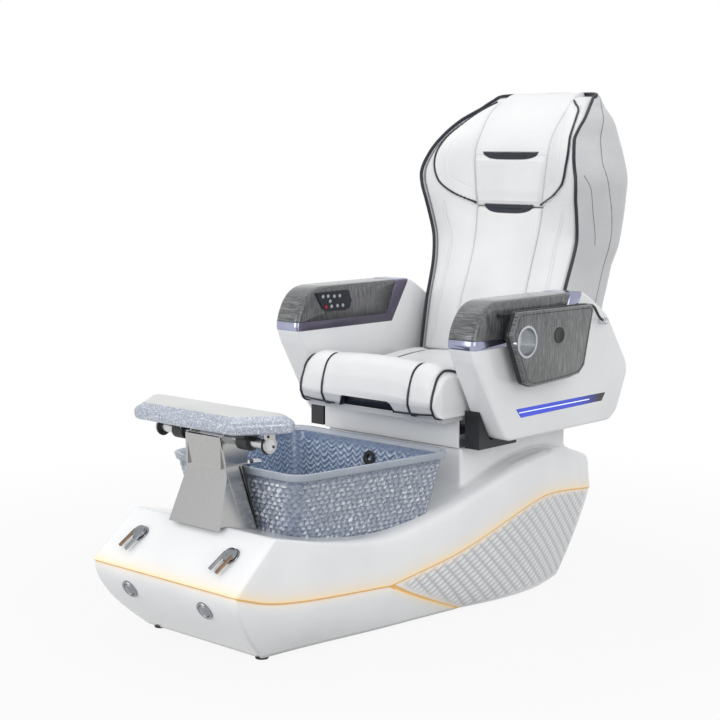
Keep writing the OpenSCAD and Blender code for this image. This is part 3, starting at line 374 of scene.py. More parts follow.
# polyester gelcoat sprayed in a mould: deep gloss with a trace of orange peel
gelcoat = litBySeam(speckled("gelcoatSprayedWhite", "#e9eaec", "#f0f1f1", 9, 0.16, 0.05, Coat_Weight=0.4,
                             Coat_Roughness=0.05))
# the pressed wave panels take a painted shade, #bcbec1, in the hollows of their relief
waveGelcoat = litBySeam(shadeInHollows(speckled("gelcoatPressedWave", "#e4e5e6", "#ececed", 9, 0.24, 0.05,
                                          Coat_Weight=0.3), "#bcbec1"))
# satin chrome of the levers and buttons: greyer, with a soft edge to what it mirrors
satinChrome = speckled("chromeSatinBlasted", "#83868a", "#9a9da0", 2, 0.2, 0.05, Metallic=1.0)
# powder-coated steel: fine grit, half matt
powderBlack = speckled("steelPowderCoatedBlack", "#1b1c1e", "#242527", 0.9, 0.5, 0.3)
rubberBlack = speckled("rubberMouldedBlack", "#121212", "#1a1a1a", 1.5, 0.7, 0.3)
# chrome plate over brass: bright, a trace of haze
chromePlate = speckled("chromePlatedBrass", "#c9cbd0", "#dcdee2", 4, 0.08, 0.02, Metallic=1.0)
# bronze-toned plate on one prong of each lever
bronzePlate = speckled("bronzePlatedBrass", "#77604f", "#947a66", 3, 0.2, 0.05, Metallic=1.0)
absBlack = speckled("absMouldedBlack", "#0e0f12", "#17191d", 1.2, 0.35, 0.2)
motorEnamel = speckled("castIronEnamelledGrey", "#202628", "#2b3234", 1.5, 0.45, 0.3)
hoseRubber = speckled("epdmHoseExtruded", "#474d52", "#565d63", 1.0, 0.6, 0.2)
valveBrass = speckled("brassCastTumbled", "#a9833d", "#c29a52", 1.2, 0.35, 0.4, Metallic=1.0)
steelBar = speckled("stainlessBarGround", "#b7b9bb", "#cfd0d2", 1.0, 0.22, 0.1, Metallic=1.0)
railSteel = speckled("steelRailZincPlated", "#8d9093", "#a2a5a8", 1.0, 0.4, 0.2, Metallic=1.0)
# the pan is painted pale, so that its edge reads as one with the cushion over it
plywood = speckled("birchPlywoodPaintedPale", "#bfc0c2", "#cdced0", 2.0, 0.6, 0.3)
seamGrey = speckled("polyesterThreadGrey", "#77787b", "#8b8c8f", 0.6, 0.6, 0.3)
supportPlastic = speckled("absGrainedBlack", "#101113", "#2c2f34", 1.6, 0.5, 0.6)
keySilver = speckled("absKeySilverPainted", "#aab0b8", "#c3c8ce", 0.8, 0.3, 0.1)
keyRed = speckled("absKeyRedMoulded", "#b3161b", "#cc2228", 0.8, 0.3, 0.1)
cupSteel = speckled("stainlessCupSpun", "#b4b7ba", "#d3d5d8", 1.2, 0.18, 0.08, Metallic=1.0)
urethane = speckled("urethaneRollerCast", "#a8957a", "#bda98c", 1.5, 0.5, 0.2)
whiteLeather = leather("puLeatherEmbossedWhite", "#e2e2e3", "#ebebeb", 0.42, 0.16, Coat_Weight=0.08)
# the shell's leather is a pale grey of its own, darkened further by painted shade, the tone of its side in
# shade
shellLeather = leather("puLeatherPaleGreyWithPaintedShade", "#c9cacc", "#d4d5d6", 0.40, 0.34, Coat_Weight=0.1)
navyLeather = speckled("puLeatherNavy", "#10141f", "#1b2130", 1.4, 0.38, 0.2)
threadWhite = speckled("polyesterThreadTwisted", "#c4c5c8", "#d4d5d7", 0.6, 0.6, 0.4)
lavenderChrome = speckled("absPlatedLavender", "#8f93ad", "#b4b7cc", 3, 0.14, 0.02, Metallic=0.9)
mauveBand = speckled("absPaintedMauve", "#565065", "#655f74", 1.5, 0.35, 0.1)
# pad's flat top: resin sanded and sealed, a soft pale grey
padPlateau = speckled("resinSealedPale", "#c0c1bf", "#cecfcc", 1.4, 0.3, 0.15, Coat_Weight=0.3)


def makeStainless():
    # cold-rolled sheet, polished along its length: fine lines, soft mirror
    material, tree, shader, place = startMaterial("stainlessSheetBrushed", Metallic=1.0)
    lines = addNode(tree, "ShaderNodeMapping", {"Vector": place, "Scale": (900.0, 900.0, 14.0)})
    grain = addNode(tree, "ShaderNodeTexNoise",
                    {"Vector": lines.outputs["Vector"], "Scale": 1.0, "Detail": 2.0})
    tone = rampColors(addNode(tree, "ShaderNodeValToRGB", {"Fac": grain.outputs["Fac"]}),
                      [(0.3, "#afafad"), (0.7, "#b9b9b8")])
    tree.links.new(tone.outputs["Color"], shader.inputs["Base Color"])
    gloss = addNode(tree, "ShaderNodeMapRange", {"Value": grain.outputs["Fac"], 3: 0.16, 4: 0.26})
    tree.links.new(gloss.outputs["Result"], shader.inputs["Roughness"])
    relief = addNode(tree, "ShaderNodeBump",
                     {"Height": grain.outputs["Fac"], "Strength": 0.05, "Distance": 0.0003})
    tree.links.new(relief.outputs["Normal"], shader.inputs["Normal"])
    return material


def makeGlitter(name, base, dark, spark, size, amount):
    # resin cast over foil flakes: each flake is one cell with its own tilt and tone
    material, tree, shader, place = startMaterial(name, Roughness=0.3, Coat_Weight=0.6, Coat_Roughness=0.06,
                                                  Metallic=0.35)
    cells = addNode(tree, "ShaderNodeTexVoronoi", {"Vector": place, "Scale": 1000 / size})
    tone = addNode(tree, "ShaderNodeSeparateColor", {"Color": cells.outputs["Color"]})
    ramp = rampColors(addNode(tree, "ShaderNodeValToRGB", {"Fac": tone.outputs["Red"]}),
                      [(0.1, dark), (0.5, base), (1 - amount, base), (1.0, spark)])
    tree.links.new(ramp.outputs["Color"], shader.inputs["Base Color"])
    tilt = addNode(tree, "ShaderNodeBump",
                   {"Height": tone.outputs["Green"], "Strength": 0.5, "Distance": 0.0006})
    tree.links.new(tilt.outputs["Normal"], shader.inputs["Normal"])
    return material


def makeCrystal(name, stops, flake, **sockets):
    # tinted acrylic cast in a relief mould, with foil flakes a few mm wide; the relief attribute paints a
    # highlight pale on the crests and shade deep in the hollows
    material, tree, shader, place = startMaterial(name, **sockets)
    height = addNode(tree, "ShaderNodeAttribute", attribute_name="relief").outputs["Fac"]
    cells = addNode(tree, "ShaderNodeTexVoronoi", {"Vector": place, "Scale": 1000 / flake})
    tone = addNode(tree, "ShaderNodeSeparateColor", {"Color": cells.outputs["Color"]})
    # random flake tone plus relief height; the height part is painted light: painted highlight on the crests,
    # painted shade in the hollows
    mixed = addNode(tree, "ShaderNodeMath", {0: tone.outputs["Red"], 1: 0.45, 2: height},
                    operation="MULTIPLY_ADD")
    spread = addNode(tree, "ShaderNodeMapRange", {"Value": mixed.outputs[0], 2: 1.45})
    ramp = rampColors(addNode(tree, "ShaderNodeValToRGB", {"Fac": spread.outputs["Result"]}), stops)
    tree.links.new(ramp.outputs["Color"], shader.inputs["Base Color"])
    tilt = addNode(tree, "ShaderNodeBump",
                   {"Height": tone.outputs["Green"], "Strength": 0.35, "Distance": 0.0008})
    tree.links.new(tilt.outputs["Normal"], shader.inputs["Normal"])
    return material


def makeWood():
    # grey-stained veneer under a gloss lacquer: upright streaks about 1.2 mm wide on the sides,
    # lying waves on the nose
    material, tree, shader, place = startMaterial("oakVeneerStainedGrey", Roughness=0.3, Coat_Weight=0.7,
                                                  Coat_Roughness=0.08)
    facing = addNode(tree, "ShaderNodeTexCoord").outputs["Normal"]
    parts = addNode(tree, "ShaderNodeSeparateXYZ", {"Vector": facing})
    turned = addNode(tree, "ShaderNodeMath", {0: parts.outputs["Y"], 1: parts.outputs["Y"]},
                     operation="MULTIPLY")
    warp = addNode(tree, "ShaderNodeTexNoise", {"Vector": place, "Scale": 22.0, "Detail": 2.0})
    bend = addNode(tree, "ShaderNodeVectorMath", {0: warp.outputs["Color"], 3: 0.012}, operation="SCALE")
    moved = addNode(tree, "ShaderNodeVectorMath", {0: place, 1: bend.outputs["Vector"]}, operation="ADD")
    upright = addNode(tree, "ShaderNodeMapping",
                      {"Vector": moved.outputs["Vector"], "Scale": (300.0, 620.0, 24.0)})
    lying = addNode(tree, "ShaderNodeMapping",
                    {"Vector": moved.outputs["Vector"], "Scale": (20.0, 120.0, 330.0)})
    sideGrain = addNode(tree, "ShaderNodeTexNoise",
                        {"Vector": upright.outputs["Vector"], "Scale": 1.0, "Detail": 4.0})
    noseGrain = addNode(tree, "ShaderNodeTexNoise",
                        {"Vector": lying.outputs["Vector"], "Scale": 1.0, "Detail": 4.0})
    grain = addNode(tree, "ShaderNodeMix",
                    {"Factor": turned.outputs[0], 2: sideGrain.outputs["Fac"], 3: noseGrain.outputs["Fac"]})
    tone = rampColors(addNode(tree, "ShaderNodeValToRGB", {"Fac": grain.outputs[0]}),
                      [(0.34, "#343536"), (0.5, "#575859"), (0.66, "#818282")])
    tree.links.new(tone.outputs["Color"], shader.inputs["Base Color"])
    relief = addNode(tree, "ShaderNodeBump",
                     {"Height": grain.outputs[0], "Strength": 0.15, "Distance": 0.0004})
    tree.links.new(relief.outputs["Normal"], shader.inputs["Normal"])
    return material


def makeLight(name, code, core, strength):
    # opal diffuser over LEDs
    material, tree, shader, place = startMaterial(name, Roughness=0.5, Base_Color=hexColor(code))
    spots = addNode(tree, "ShaderNodeTexNoise", {"Vector": place, "Scale": 12.0, "Detail": 1.0})
    tone = rampColors(addNode(tree, "ShaderNodeValToRGB", {"Fac": spots.outputs["Fac"]}),
                      [(0.3, code), (0.7, core)])
    tree.links.new(tone.outputs["Color"], shader.inputs["Emission Color"])
    shader.inputs["Emission Strength"].default_value = strength
    return material


stainless = makeStainless()
padGlitter = makeGlitter("resinGlitterSilverBlue", "#b3bac6", "#8b94a3", "#f4f6f9", 2.4, 0.14)
# the bowl's ramps run from painted shade in the relief's hollows, through the acrylic's own blue-grey, to a
# painted highlight on its crests
crystalWall = makeCrystal("acrylicCastHammered",
                          [(0.0, "#59637a"), (0.26, "#818a9b"), (0.52, "#a1a8b5"), (0.8, "#f2f4f7")],
                          4.5, Roughness=0.2, Coat_Weight=0.6, Coat_Roughness=0.05)
crystalInner = makeCrystal("acrylicCastWaved",
                           [(0.0, "#5c6f8e"), (0.4, "#7d90ac"), (0.68, "#aebbcd"), (0.92, "#eef2f7")],
                           6, Roughness=0.18, Coat_Weight=0.6, Coat_Roughness=0.05)
crystalLip = speckled("acrylicCastClear", "#c0c8d4", "#d0d6df", 5, 0.06, 0.05, Transmission_Weight=0.4,
                      IOR=1.49)
woodPrint = makeWood()
warmLight = makeLight("silicaDiffuserWarm", "#c79d5e", "#d2ab70", 0.4)
coreLight = makeLight("silicaDiffuserWhiteCore", "#c9d4ff", "#e2e8ff", 1.0)


def makeBlueBar():
    # blue acrylic over LEDs that end before the bar does, so its rear quarter falls dark
    material, tree, shader, place = startMaterial("acrylicTintedBlueLit", Roughness=0.25, Coat_Weight=0.4)
    parts = addNode(tree, "ShaderNodeSeparateXYZ", {"Vector": place})
    spread = addNode(tree, "ShaderNodeMapRange",
                     {"Value": parts.outputs["Y"], 1: (960 - noseY) / 1000, 2: (1412 - noseY) / 1000})
    ramp = rampColors(addNode(tree, "ShaderNodeValToRGB", {"Fac": spread.outputs["Result"]}),
                      [(0.0, "#20309a"), (0.12, "#2a41cc"), (0.7, "#2438b8"), (0.93, "#060812")])
    tree.links.new(ramp.outputs["Color"], shader.inputs["Base Color"])
    tree.links.new(ramp.outputs["Color"], shader.inputs["Emission Color"])
    shader.inputs["Emission Strength"].default_value = 0.4
    return material


blueLight = makeBlueBar()

slotFinish = {
    "gelcoat": gelcoat, "wave_panel": waveGelcoat, "frame_steel": powderBlack, "foot_rubber": rubberBlack,
    "light": warmLight, "crystal": crystalWall, "chrome": chromePlate, "jet_black": absBlack,
    "motor": motorEnamel, "hose": hoseRubber, "brass_valve": valveBrass, "stainless": stainless,
    "bar_steel": steelBar, "clamp_black": powderBlack, "pad_glitter": padGlitter, "rail_steel": railSteel,
    "plywood": plywood, "white_leather": whiteLeather, "navy": navyLeather, "support_black": supportPlastic,
    "wood_grain": woodPrint, "lavender_chrome": lavenderChrome, "blue_light": blueLight,
    "silver_key": keySilver, "red_key": keyRed, "cup_steel": cupSteel, "shell_grey": shellLeather,
    "carriage_plastic": absBlack, "roller_urethane": urethane,
}
for part in frame["record"]["subparts"]:
    cadMesh = frame["nodes"][part["node"]].data
    cadMesh.materials.clear()
    cadMesh.materials.append(slotFinish[part["material_slot"]])
print("materials made:", len(bpy.data.materials))

# base hull
hull = {
    "noseHalfW": 283, "beamHalfW": 345, "tailHalfW": 287, "length": 1508, "noseZ": 206, "forkY": 550,
    "forkZ": 132, "floorGap": 10, "panelY": 143, "panelZ": 330, "panelLowZ": 209, "seam": 2.4, "noseR": 10,
    "tailR": 34, "shoulderIn": 12, "bottomTuck": 26, "noseTuck": 60, "frontFull": 1.7, "straightFrom": 380,
    "rake": 140, "lowerReach": 830, "panelRearY": 1312, "beamY": 1090, "skin": 6, "sideSteps": 60,
    "cove": 6, "branchGap": 12, "glowAbove": 15, "glowBelow": 6, "stripDeep": 6,
    "shoulderRound": [(143, 7), (250, 9), (420, 22), (620, 42), (1100, 42), (1354, 30), (1508, 20)],
}
widthKeys = [(0, hull["noseHalfW"]), (hull["forkY"], mix(hull["noseHalfW"], hull["beamHalfW"], 0.33)),
             (hull["beamY"], hull["beamHalfW"]), (hull["length"] - 30, hull["tailHalfW"])]
lightFront = [(0, hull["noseZ"]), (110, 172), (250, 152), (hull["forkY"], hull["forkZ"])]
lightRear = [(hull["forkY"], hull["forkZ"]), (800, 179), (1090, 266), (1220, 282), (1508, 249)]
shoulderKeys = [(hull["panelY"], hull["panelZ"]), (340, 287), (540, 268), (745, 301), (900, 346),
                (1070, 394), (1220, 411), (1354, 397), (1508, 350)]


def halfW(y):
    return along(widthKeys, clamp(y, 0, hull["length"]))


def lightZ(y):
    return along(lightFront, max(0, y)) if y < hull["forkY"] else along(lightRear, min(y, hull["length"]))


def shoulderZ(y):
    return along(shoulderKeys, clamp(y, hull["panelY"], hull["length"]))


def hullStations():
    # right half of the light line, nose middle to tail middle: (x, y, inward x, inward y)
    noseR, tailR, noseW, tailW = hull["noseR"], hull["tailR"], hull["noseHalfW"], hull["tailHalfW"]
    line = [((noseW - noseR) * i / 10, 0, 0, 1) for i in range(10)]
    for i in range(6):
        a = math.radians(90 * i / 5)
        line.append((noseW - noseR + noseR * math.sin(a), noseR - noseR * math.cos(a), -math.sin(a),
                     math.cos(a)))
    steps = hull["sideSteps"]
    for i in range(1, steps + 1):
        y = mix(noseR, hull["length"] - tailR, i / steps)
        line.append((halfW(y), y, -1, 0))
    for i in range(1, 6):
        a = math.radians(90 * i / 5)
        line.append((tailW - tailR + tailR * math.cos(a), hull["length"] - tailR + tailR * math.sin(a),
                     -math.cos(a), -math.sin(a)))
    line += [((tailW - tailR) * (1 - i / 4), hull["length"], 0, -1) for i in range(1, 5)]
    return line


wallRows = [0, 0.02, 0.05, 0.09, 0.15, 0.24, 0.4, 0.6, 0.8, 1]
arcRows = 7


def shoulderPlaces(p):
    # light line, start of the rounding, its corner and its end on the deck
    topY = hull["panelY"] + (hull["length"] - hull["panelY"]) * p[1] / hull["length"]
    low = at(p[0], p[1], lightZ(p[1]) + hull["seam"] / 2)
    high = at((halfW(topY) - hull["shoulderIn"]) * p[0] / halfW(p[1]), topY, shoulderZ(topY))
    size = along(hull["shoulderRound"], topY) / 1000
    edge = high + Vector((p[2], p[3], 0)) * size
    edge.z = shoulderZ(edge.y * 1000 + noseY) / 1000
    return low, high + (low - high).normalized() * size, high, edge


def shellPoint(p, row):
    low, start, high, edge = shoulderPlaces(p)
    if row < len(wallRows):
        return low.lerp(start, wallRows[row])
    t = (row - len(wallRows) + 1) / arcRows
    return start.lerp(high, t).lerp(high.lerp(edge, t), t)


def lowerPoint(p, t):
    # full and boat-like under the nose, straighter towards the fork
    straight = ease(p[1] / hull["straightFrom"])
    foot = mix(hull["rake"], hull["lowerReach"], min(1, p[1] / hull["forkY"]))
    y = mix(p[1], foot, t ** mix(hull["frontFull"], 1.15, straight))
    wide = p[0] / halfW(p[1])
    tuck = mix(hull["noseTuck"], hull["bottomTuck"], straight) * wide * t * t
    cove = hull["cove"] * math.exp(-t / 0.07) / 1000
    return at(halfW(y) * wide - tuck, y,
              mix(lightZ(p[1]) - hull["seam"] / 2, hull["floorGap"], t)) + Vector((p[2], p[3], 0)) * cove


def mirrorStation(p):
    return (-p[0], p[1], -p[2], p[3])


rightLine = hullStations()
hullLoop = rightLine + [mirrorStation(p) for p in reversed(rightLine[1:-1])]
forkStation = (halfW(hull["forkY"]), hull["forkY"] - hull["seam"] / 2, 0, 0)
branchLine = [lowerPoint(forkStation, i / 60) for i in range(61)]

# places on the lit seam, for the glow on the shell round it
seamSpots = []
for a, b in zip(hullLoop, hullLoop[1:] + hullLoop[:1]):
    for i in range(8):
        x, y = mix(a[0], b[0], i / 8), mix(a[1], b[1], i / 8)
        seamSpots.append(at(x, y, lightZ(y)))
branchStart = len(seamSpots)
seamSpots += branchLine + otherSide(branchLine)
seamTree = kdtree.KDTree(len(seamSpots))
for i, spot in enumerate(seamSpots):
    seamTree.insert(spot, i)
seamTree.balance()


def addGlow(piece):
    layer = piece.data.attributes.new("glow", "FLOAT", "POINT")
    for v in piece.data.vertices:
        near, index, far = seamTree.find(v.co)
        reach = hull["glowAbove"] if v.co.z > near.z and index < branchStart else hull["glowBelow"]
        layer.data[v.index].value = math.exp(-max(0, far * 1000 - 3) / reach)
    return piece


def makeUpperShell():
    n, rows = len(hullLoop), len(wallRows) - 1 + arcRows
    wall = skin(n, rows, lambda u, v: shellPoint(hullLoop[round(u * n) % n], round(v * rows)))
    # the deck: rows run from side to side behind the sloped front panel
    nose = [mirrorStation(p) for p in reversed(rightLine[1:16])] + rightLine[:16]
    sides = rightLine[15:15 + hull["sideSteps"] + 6]
    fractions = [p[0] / halfW(p[1]) for p in nose]
    reach = max(fractions)
    def deckPoint(u, v):
        k, row = round(u * (len(nose) - 1)), round(v * (len(sides) - 1))
        if row == 0:
            return shellPoint(nose[k], rows)
        edge = shellPoint(sides[row], rows)
        return Vector((edge.x * fractions[k] / reach, edge.y, edge.z))
    deck = skin(len(nose) - 1, len(sides) - 1, deckPoint)
    bm = joined([wall, deck])
    bmesh.ops.remove_doubles(bm, verts=bm.verts, dist=2e-5)
    return bm


bowl = {
    "frontHalfW": 262, "rearHalfW": 312, "frontY": 241, "rearY": 802, "rimZ": 470, "floorZ": 200, "wall": 10,
    "lip": 7, "lipH": 20, "sideDraft": 0.28, "frontDraft": 0.13, "rearDraft": 0.2, "frontR": 60, "rearR": 56,
    "moonW": 21, "moonH": 13, "moonDeep": 4.2, "waveW": 34, "waveH": 15, "waveDeep": 3.0,
    "aroundOuter": 760, "aroundInner": 600, "aroundLip": 300, "aroundPlug": 160, "girth": 2080,
}
sideAngle = math.atan((bowl["rearHalfW"] - bowl["frontHalfW"]) / (bowl["rearY"] - bowl["frontY"]))


def bowlCorner(z, inset):
    depth = bowl["rimZ"] - z
    steep = depth * bowl["rearDraft"] + inset
    wf, wr = bowl["frontHalfW"] - depth * bowl["sideDraft"] - inset, bowl["rearHalfW"] - steep
    y0, y1 = bowl["frontY"] + depth * bowl["frontDraft"] + inset, bowl["rearY"] - steep
    return wf, wr, y0, y1, max(6, bowl["frontR"] - inset), max(6, bowl["rearR"] - inset)


def bowlOutline(z, inset, count):
    # count points round the bowl: (x, y, outward x, outward y)
    wf, wr, y0, y1, rf, rr = bowlCorner(z, inset)
    turn = math.degrees(sideAngle)
    corners = [(wf - rf, y0 + rf, rf, -90, -turn), (wr - rr, y1 - rr, rr, -turn, 90),
               (rr - wr, y1 - rr, rr, 90, 180 + turn), (rf - wf, y0 + rf, rf, 180 + turn, 270)]
    points = []
    for cx, cy, r, a0, a1 in corners:
        for i in range(13):
            a = math.radians(mix(a0, a1, i / 12))
            points.append(Vector((cx + r * math.cos(a), cy + r * math.sin(a))))
    points.append(points[0].copy())
    runs = [0.0]
    for a, b in zip(points, points[1:]):
        runs.append(runs[-1] + (b - a).length)
    result, k = [], 0
    for i in range(count):
        s = runs[-1] * i / count
        while runs[k + 1] < s:
            k += 1
        f = (s - runs[k]) / max(1e-6, runs[k + 1] - runs[k])
        way = (points[k + 1] - points[k]).normalized()
        spot = points[k].lerp(points[k + 1], f)
        result.append((spot.x, spot.y, way.y, -way.x))
    return result


def bowlPlug(z0, z1, inset):
    n = bowl["aroundPlug"]
    rows = [bowlOutline(z0, inset, n), bowlOutline(z1, inset, n)]
    def place(u, v):
        p = rows[round(v)][round(u * n) % n]
        return at(p[0], p[1], mix(z0, z1, v))
    return capEnds(skin(n, 1, place))


upperShell = addPiece("upperShell", makeUpperShell(), gelcoat, "base", ["upper_shell"])
shaped(upperShell, "SOLIDIFY", thickness=hull["skin"] / 1000, offset=-1)
cutAway(upperShell, bowlPlug(190, 360, bowl["lip"] - 2))
addGlow(upperShell)

platform = {"halfW": 262, "frontY": 887, "rearY": 1385, "topZ": 455, "cornerR": 10, "edgeR": 7, "footR": 15}


def makePlatform():
    halfWide, y0, y1, r = platform["halfW"], platform["frontY"], platform["rearY"], platform["cornerR"]
    ring = []
    for cx, cy, a0 in ((halfWide - r, y0 + r, -90), (halfWide - r, y1 - r, 0), (r - halfWide, y1 - r, 90),
                       (r - halfWide, y0 + r, 180)):
        for i in range(7):
            a = math.radians(a0 + 15 * i)
            ring.append((cx, cy, math.cos(a), math.sin(a)))
        if a0 in (0, 180):
            continue
        for k in range(1, 9):    # spare stations along the long sides follow the deck
            ring.append((cx, mix(cy, (y1 - r) if a0 == -90 else (y0 + r), k / 9), ring[-1][2], ring[-1][3]))
    n = len(ring)
    steps = [("foot", 15 * i) for i in range(7)] + [("edge", 15 * i) for i in range(7)] + [("top", 0)]
    def place(u, v):
        cx, cy, nx, ny = ring[round(u * n) % n]
        kind, angle = steps[round(v * (len(steps) - 1))]
        a, foot, edge = math.radians(angle), platform["footR"], platform["edgeR"]
        if kind == "top":
            return at(cx * 0.96, mix(cy, (y0 + y1) / 2, 0.04), platform["topZ"])
        if kind == "foot":
            out = r + foot * (1 - math.sin(a))
            lift = foot * (1 - math.cos(a)) - 1
            x, y = cx + nx * out, cy + ny * out
            return at(x, y, shoulderZ(y) + lift)
        out = r - edge * (1 - math.cos(a))
        return at(cx + nx * out, cy + ny * out, platform["topZ"] - edge * (1 - math.sin(a)))
    return capEnds(skin(n, len(steps) - 1, place))


addPiece("seatPlatform", makePlatform(), gelcoat, "base")

lowerRight = [p for p in rightLine if p[1] < hull["forkY"] - 30]
for shortOf in (28, 16, 9, 5, 3.5):
    y = hull["forkY"] - shortOf
    lowerRight.append((halfW(y), y, -1, 0))
lowerLine = [mirrorStation(p) for p in reversed(lowerRight[1:])] + lowerRight
lowerRows = [0, 0.02, 0.045, 0.08, 0.12, 0.17, 0.23, 0.3, 0.37, 0.44, 0.51, 0.58, 0.65, 0.72, 0.79, 0.86,
             0.93, 1]


def lowerPlace(u, v):
    return lowerPoint(lowerLine[round(u * (len(lowerLine) - 1))], lowerRows[round(v * (len(lowerRows) - 1))])


lowerHull = addPiece("lowerHull", skin(len(lowerLine) - 1, len(lowerRows) - 1, lowerPlace), gelcoat, "base",
                     ["lower_hull"])
shaped(lowerHull, "SOLIDIFY", thickness=hull["skin"] / 1000, offset=-1)
addGlow(lowerHull)

wave = {"cellA": 17, "cellB": 43, "slant": 0.55, "height": 3.6, "across": 250, "up": 150}


def waveHeight(run, rise):
    # leaning pillows in slanting rows: steep at the lower edge, full near it, then falling away
    a, b = (rise - wave["slant"] * run) / wave["cellA"], (rise + run) / wave["cellB"]
    a -= math.floor(a)
    b -= math.floor(b)
    swell = math.sin(math.pi / 2 * a / 0.3) ** 0.7 if a < 0.3 else ((1 - a) / 0.7) ** 1.1
    return swell * (1 - abs(2 * b - 1) ** 2.2) ** 0.8


def sidePlace(s, t):
    # y and z on the side panel, and the share of the relief there
    top = max(hull["forkY"] + hull["branchGap"], mix(hull["forkY"], hull["length"] - hull["tailR"], s))
    foot = mix(hull["lowerReach"] + hull["branchGap"] / 2, hull["panelRearY"], s)
    y = mix(top, foot, t**1.15)
    z = mix(lightZ(top) - hull["seam"] / 2, hull["floorGap"], t)
    drop = t * (lightZ(top) - hull["floorGap"])
    return y, z, ease(drop / 12) * ease((1 - t) * 14) * ease(s * 14) * ease((1 - s) * 40)


def sidePoint(s, t):
    y, z, fade = sidePlace(s, t)
    sink = hull["cove"] * math.exp(-t / 0.05) * 0.5
    relief = wave["height"] * waveHeight(y, z) * fade - sink - 1.2
    return at(halfW(y) - hull["bottomTuck"] * (1 - 0.7 * math.sin(math.pi * s)) * t * t + relief, y, z)


# share of plain colour against painted shade on the side panels: full painted shade in the relief's hollows,
# plain gelcoat on its crests and where the relief fades out
def sideHollowShade(s, t):
    y, z, fade = sidePlace(s, t)
    return mix(1, clamp(1.3 * waveHeight(y, z)), fade)


sidePanels = addPiece("sidePanels", mirrored(skin(wave["across"], wave["up"], sidePoint, sideHollowShade)),
                      waveGelcoat, "base", ["side_panels"], sharp=80, recalc=False)
addGlow(sidePanels)


rearSkin = {"across": 24, "up": 24, "bend": 8, "footHalfW": 284, "wall": 4}


def rearPlace(u, v):
    # plain panel under the tail: a rounded corner, the flat rear and the other corner
    middle, bend = rearSkin["across"] // 2, rearSkin["bend"]
    k = round(u * rearSkin["across"])
    side = 1 if k <= middle else -1
    k = min(k, rearSkin["across"] - k)
    edge = sidePoint(1, v) * 1000
    x = mix(hull["tailHalfW"] - hull["tailR"], rearSkin["footHalfW"], v)
    y = mix(hull["length"] - 1.4, hull["panelRearY"] + 4, v)
    turn = math.radians(90 * min(k, bend) / bend)
    topY = mix(hull["length"] - hull["tailR"], hull["length"], math.sin(turn))
    z = mix(lightZ(topY) - hull["seam"] / 2, hull["floorGap"], v)
    wide = x + (edge.x - x) * math.cos(turn) if k < bend else x * (middle - k) / (middle - bend)
    return at(side * wide, mix(edge.y + noseY, y, math.sin(turn)), z)


rearForm = skin(rearSkin["across"], rearSkin["up"], rearPlace)
rearPanel = addPiece("rearPanel", rearForm, gelcoat, "base", ["rear_panel"])
shaped(rearPanel, "SOLIDIFY", thickness=rearSkin["wall"] / 1000, offset=-1)
addGlow(rearPanel)
print("hull done")


# light strip
def stripPoint(p, v):
    out = 0.4 * math.sin(math.pi * v) - 1.4
    z = lightZ(p[1]) + (v - 0.5) * (hull["seam"] + 2.4)
    return at(p[0] - p[2] * out, p[1] - p[3] * out, z)


def branchPoint(u, v):
    # from a little under the lower hull's edge to a little under the side panel's
    edge = lowerPoint((halfW(hull["forkY"]), hull["forkY"] - 3.5, 0, 0), u)
    far = sidePoint(0, u)
    return edge.lerp(far, mix(-0.15, 1.15, v)) + Vector((-0.0016, 0, 0))


n = len(hullLoop)
seamForm = skin(n, 4, lambda u, v: stripPoint(hullLoop[round(u * n) % n], v))
stripForm = joined([seamForm, mirrored(skin(24, 3, branchPoint))])
lightStrip = addPiece("lightStrip", stripForm, warmLight, "base", ["light_strip"])
shaped(lightStrip, "SOLIDIFY", thickness=hull["stripDeep"] / 1000, offset=-1)


# bowl
def cornerFade(p):
    # the relief runs out on the rounded corners, where both outward parts are large
    return 1 - 0.55 * clamp(2 * abs(p[2] * p[3]))


def moonHeight(run, z):
    # half-moon bumps in staggered rows, round side up
    z += 3.5 * noise.noise(Vector((run / 34, z / 30, 8)))
    row = math.floor(z / bowl["moonH"])
    up = z / bowl["moonH"] - row
    drift = 0.5 * noise.noise(Vector((run / 46, row * 1.7, 3)))
    place = run / bowl["moonW"] + 0.5 * (row % 2) + drift
    side = place % 1.0
    full = 0.75 + 0.5 * noise.noise(Vector((math.floor(place) * 2.3, row * 3.1, 5)))
    return full * math.sqrt(max(0, 1 - (2 * side - 1) ** 2 - up**2))


def chevronHeight(run, z):
    # fine zigzag waves, drawn a little unevenly
    run += 7 * noise.noise(Vector((run / 50, z / 40, 2)))
    z += 6 * noise.noise(Vector((run / 60, z / 50, 6)))
    ridge = math.sin(math.pi / 2 * abs((run / bowl["waveW"]) % 1.0 * 2 - 1))
    return (0.5 + 0.5 * math.sin(2 * math.pi * (z / bowl["waveH"] + 0.9 * ridge))) ** 1.5


def bowlSkin(profile, around, height, deep):
    # profile of (z, inset, share of relief); the run is counted alike at every height
    rings = [bowlOutline(z, inset, around) for z, inset, share in profile]
    m = len(profile) - 1
    def reliefAt(u, v):
        j, k = round(v * m), round(u * around) % around
        z, share = profile[j][0], profile[j][2]
        return share * cornerFade(rings[j][k]) * height(bowl["girth"] * k / around, z) if share else 0.0
    def place(u, v):
        j, k = round(v * m), round(u * around) % around
        x, y, nx, ny = rings[j][k]
        out = deep * reliefAt(u, v)
        return at(x + nx * out, y + ny * out, profile[j][0])
    return skin(around, m, place, reliefAt)


